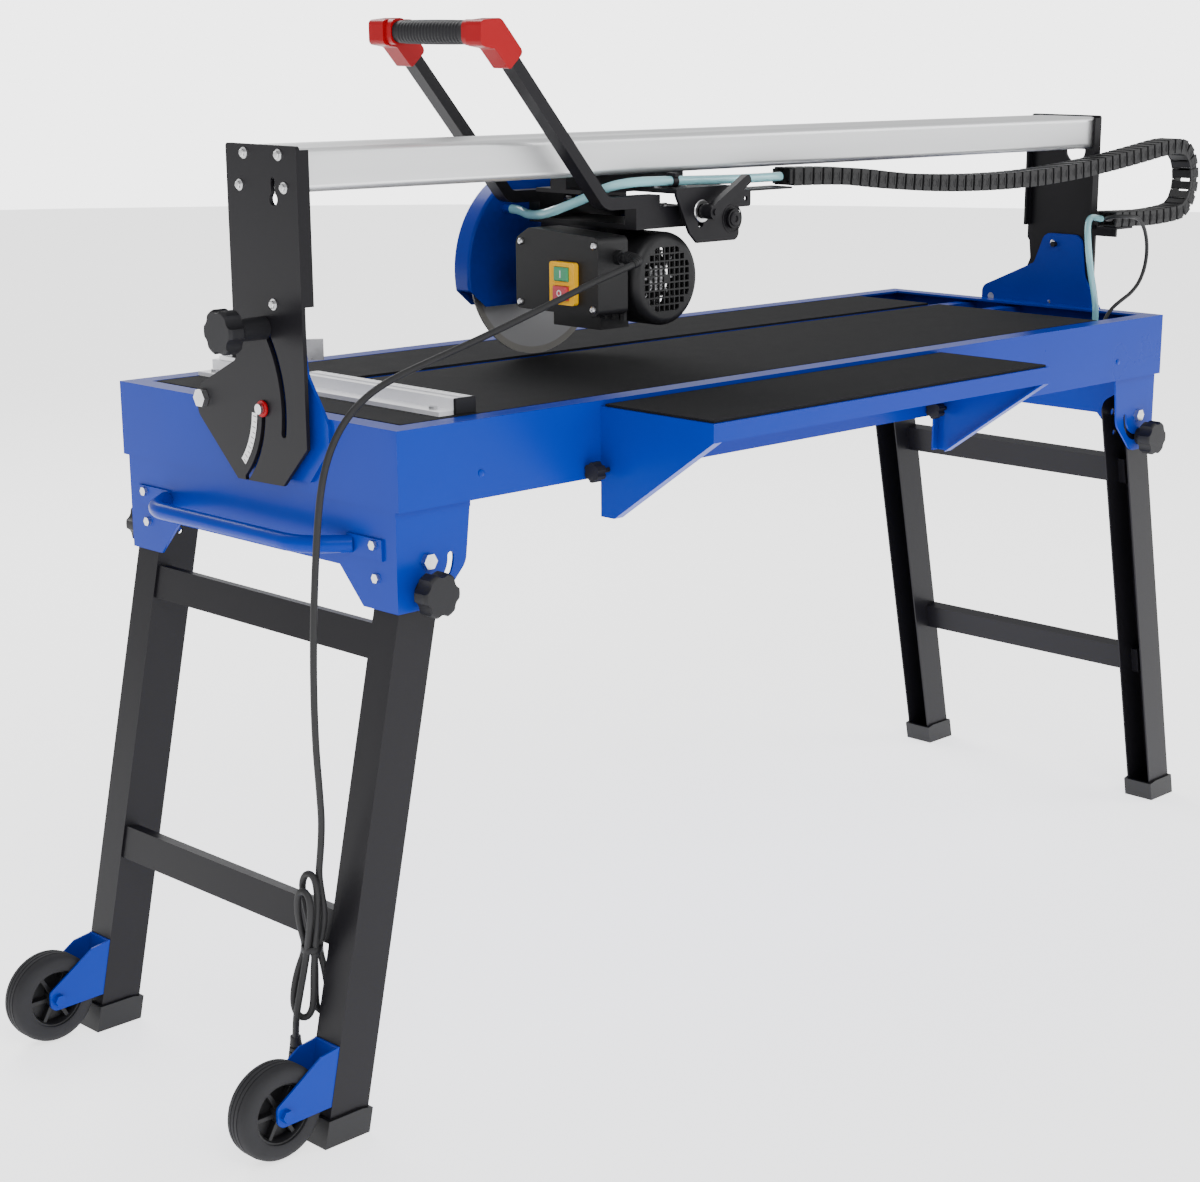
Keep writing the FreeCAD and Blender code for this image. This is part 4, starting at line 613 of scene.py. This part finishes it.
def grip():
    low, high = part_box("handle_grip")
    middle = (low + high) / 2
    half_x, half_z = (high.x - low.x) / 2, (high.z - low.z) / 2
    bm = bmesh.new()
    sides, rows = 36, 88
    rings = []
    for k in range(rows + 1):
        share = k / rows
        swell = 1.0 + 0.05 * math.sin(math.pi * share)
        if 0.07 < share < 0.93:
            swell += 0.028 if k % 4 < 2 else -0.012
        ring = []
        for j in range(sides):
            a = 2 * math.pi * j / sides
            c, s = math.cos(a), math.sin(a)
            x = half_x * 0.97 * swell * math.copysign(abs(c) ** 0.75, c)
            z = half_z * 0.97 * swell * math.copysign(abs(s) ** 0.75, s)
            ring.append(bm.verts.new((middle.x + x, low.y + (high.y - low.y) * share, middle.z + z)))
        rings.append(ring)
    for a, b in zip(rings, rings[1:]):
        for j in range(sides):
            bm.faces.new((a[j], a[(j + 1) % sides], b[(j + 1) % sides], b[j]))
    bm.faces.new(rings[0][::-1])
    bm.faces.new(rings[-1])
    piece = finish_mesh(bm, "grip_sleeve", matt, "head", angle=25)
    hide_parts("handle_grip")


def screws(name, body, look, kind, places, direction, size):
    bm = bmesh.new()
    for spot in places:
        if kind == "hex":
            hex_head(bm, at(*spot), direction, size, size * 0.45)
        else:
            pan_head(bm, at(*spot), direction, size)
    return finish_mesh(bm, name, look, body)


def ends_and_scale():
    left, right = -17.0, 1530.0
    rail_spots = [(166, 1088), (228, 1088), (158, 1053), (238, 1053), (185, 925)]
    screws("rail_bolts_left", "bridge", zinc, "hex",
           [(left, y, z) for y, z in rail_spots], (-1, 0, 0), 8)
    screws("rail_bolts_right", "bridge", zinc, "hex",
           [(right, y, z) for y, z in rail_spots[:4]], (1, 0, 0), 8)
    screws("bracket_screws_right", "table", zinc, "pan",
           [(1520.0, 209, 900)] + [(1520.0, y, 779) for y in (130, 190, 250, 318)], (-1, 0, 0), 4.5)
    bm = bmesh.new()
    flat_ring(bm, "x", left - 0.5, (326, 806), 93, 102, 184, 222, 0.5, 30)
    finish_mesh(bm, "angle_scale", white, "bridge")
    bm = bmesh.new()
    for k in range(10):
        a = 186 + 3.8 * k
        flat_ring(bm, "x", left - 0.62, (326, 806), 97 if k % 2 else 95, 101, a, a + 0.45, 0.2, 1)
    finish_mesh(bm, "angle_scale_marks", ink, "bridge")
    bm = bmesh.new()
    turned_piece(bm, at(left - 3.4, 212, 806), (1, 0, 0),
                 [(0, 3.4), (0, 9.0), (0.8, 9.6), (2.4, 9.6), (3.1, 9.0), (3.1, 3.4), (0, 3.4)], 32)
    bmesh.ops.remove_doubles(bm, verts=bm.verts, dist=1e-6)
    finish_mesh(bm, "pointer_washer", red, "table")


def switch_and_box():
    lid, start, stop = 404.0, 394.0, 392.0
    screws("lid_screws", "head", zinc, "pan",
           [(lid, 238, 966), (lid, 108, 968), (lid, 240, 891), (lid, 110, 891)], (-1, 0, 0), 4.6)
    bm = bmesh.new()
    block(bm, start - 0.35, start + 0.1, 157.2, 158.8, 927, 936, 0.1)
    flat_ring(bm, "x", stop - 0.35, (158, 908.5), 2.6, 4.0, 0, 360, 0.4, 28)
    finish_mesh(bm, "switch_marks", white, "head")
    bm = bmesh.new()
    for y in (116, 130, 144, 158, 172):
        block(bm, 462, 468, y, y + 6, 872, 886, 0.4)
    finish_mesh(bm, "cooling_slots", plastic, "head")


def trolley_details():
    bm = bmesh.new()
    turned_piece(bm, at(625, 79, 991), (0, -1, 0),
                 [(0, 0), (0, 9), (1.2, 9), (1.6, 8.2), (1.6, 4.2), (0.2, 3.6), (0.2, 0)], 28)
    turned_piece(bm, at(543, 110, 1039.6), (1, 0, 0),
                 [(-4.5, 6.0), (-4.5, 7.4), (4.5, 7.4), (4.5, 6.0), (-4.5, 6.0)], 24)
    block(bm, 538.5, 547.5, 102, 118, 1045, 1050, 0.8)
    bmesh.ops.remove_doubles(bm, verts=bm.verts, dist=1e-6)
    finish_mesh(bm, "hose_clamp_and_cap", black, "carriage")
    screws("trolley_bolts", "carriage", zinc, "hex",
           [(x, y, 1031.0) for x in (534, 580, 632) for y in (128, 267)], (0, 0, 1), 7)
    screws("swing_arm_bolts", "head", zinc, "hex",
           [(x, y, 1010.0) for x in (530, 575) for y in (111.5, 283.5)], (0, 0, 1), 7)
    bm = bmesh.new()
    for inner, outer in ((13.2, 14.6), (16.6, 18.0)):
        flat_ring(bm, "y", 83.3, (625, 991), inner, outer, 0, 360, 0.7, 40)
    finish_mesh(bm, "pivot_rings", black, "carriage")
    bm = bmesh.new()
    turned_piece(bm, at(568.3, 83.8, 1003.1), (0, -1, 0),
                 [(0, 9.2), (0, 14.0), (0.9, 14.2), (1.8, 13.4), (1.8, 9.2), (0, 9.2)], 36)
    bmesh.ops.remove_doubles(bm, verts=bm.verts, dist=1e-6)
    finish_mesh(bm, "lever_washer", zinc, "head")


def fence_details():
    bm = bmesh.new()
    # Thin black plate over the fence's front end face, 3.5 mm deep, across its full width and height.
    block(bm, 117, 148.6, 38.5, 42, 802.8, 821.6, 0.8)
    finish_mesh(bm, "fence_front_black_plate", plastic, "table")
    bm = bmesh.new()
    for k in range(44):
        y = 50 + 10 * k
        long = 8 if k % 5 == 0 else 4.5
        block(bm, 147.2 - long, 147.2, y, y + 0.7, 820.95, 821.08)
    finish_mesh(bm, "fence_marks", ink, "table")


def tub_details():
    bm = bmesh.new()
    rivet = [(0, 0), (0, 4.5), (0.8, 4.3), (1.4, 2.8), (1.6, 0)]
    for x in (120, 1400):
        turned_piece(bm, at(x, 0, 742), (0, -1, 0), rivet, 20)
    for y in (60, 465):
        turned_piece(bm, at(1520, y, 742), (1, 0, 0), rivet, 20)
    finish_mesh(bm, "tub_rivets", blue, "table")


lead()
hank_and_plug()
hoses()
energy_chain()
wheel("front_wheel", "wheel_f", "wheel_front")
wheel("back_wheel", "wheel_b", "wheel_back")
grip()
ends_and_scale()
switch_and_box()
trolley_details()
fence_details()
tub_details()


# ---- floor and light ------------------------------------------------------------------
FLOOR_RADIUS, FLOOR_GLOW = 14.0, 1.7
SOFT_LIGHT, BACKDROP_LIGHT = 0.75, 4.0
LAMPS = (("key", (-2.2, -3.4, 3.6), (0, 0, 0.7), 2.4, 110),
         ("fill", (3.4, -2.6, 2.2), (0, 0, 0.7), 2.0, 45),
         ("rim", (0.5, 3.2, 3.2), (0, 0, 0.8), 2.2, 90))


def studio():
    bm = bmesh.new()
    bmesh.ops.create_circle(bm, cap_ends=True, segments=64, radius=FLOOR_RADIUS)
    bmesh.ops.translate(bm, verts=bm.verts, vec=(0, 0, -0.0005))
    mesh = bpy.data.meshes.new("floor")
    bm.to_mesh(mesh)
    bm.free()
    floor = bpy.data.objects.new("floor", mesh)
    bpy.context.scene.collection.objects.link(floor)
    white_floor = material("floor_white", (0.95, 0.95, 0.95), 0.6, tone=0.01, bump=0.0, specular=0.1)
    glow = white_floor.node_tree.nodes["Principled BSDF"]
    glow.inputs["Emission Color"].default_value = (1, 1, 1, 1)
    glow.inputs["Emission Strength"].default_value = FLOOR_GLOW
    mesh.materials.append(white_floor)
    world = bpy.data.worlds.new("world")
    world.use_nodes = True
    tree = world.node_tree
    soft = tree.nodes["Background"]
    soft.inputs["Color"].default_value = (1, 1, 1, 1)
    soft.inputs["Strength"].default_value = SOFT_LIGHT
    backdrop = tree.nodes.new("ShaderNodeBackground")
    backdrop.inputs["Color"].default_value = (1, 1, 1, 1)
    backdrop.inputs["Strength"].default_value = BACKDROP_LIGHT
    seen = tree.nodes.new("ShaderNodeLightPath")
    choice = tree.nodes.new("ShaderNodeMixShader")
    tree.links.new(seen.outputs["Is Camera Ray"], choice.inputs["Fac"])
    tree.links.new(soft.outputs["Background"], choice.inputs[1])
    tree.links.new(backdrop.outputs["Background"], choice.inputs[2])
    tree.links.new(choice.outputs["Shader"], tree.nodes["World Output"].inputs["Surface"])
    bpy.context.scene.world = world
    for name, place, target, size, power in LAMPS:
        data = bpy.data.lights.new(name, "AREA")
        data.energy = power
        data.size = size
        lamp = bpy.data.objects.new(name, data)
        lamp.location = place
        lamp.rotation_euler = (Vector(target) - Vector(place)).to_track_quat("-Z", "Y").to_euler()
        bpy.context.scene.collection.objects.link(lamp)


studio()
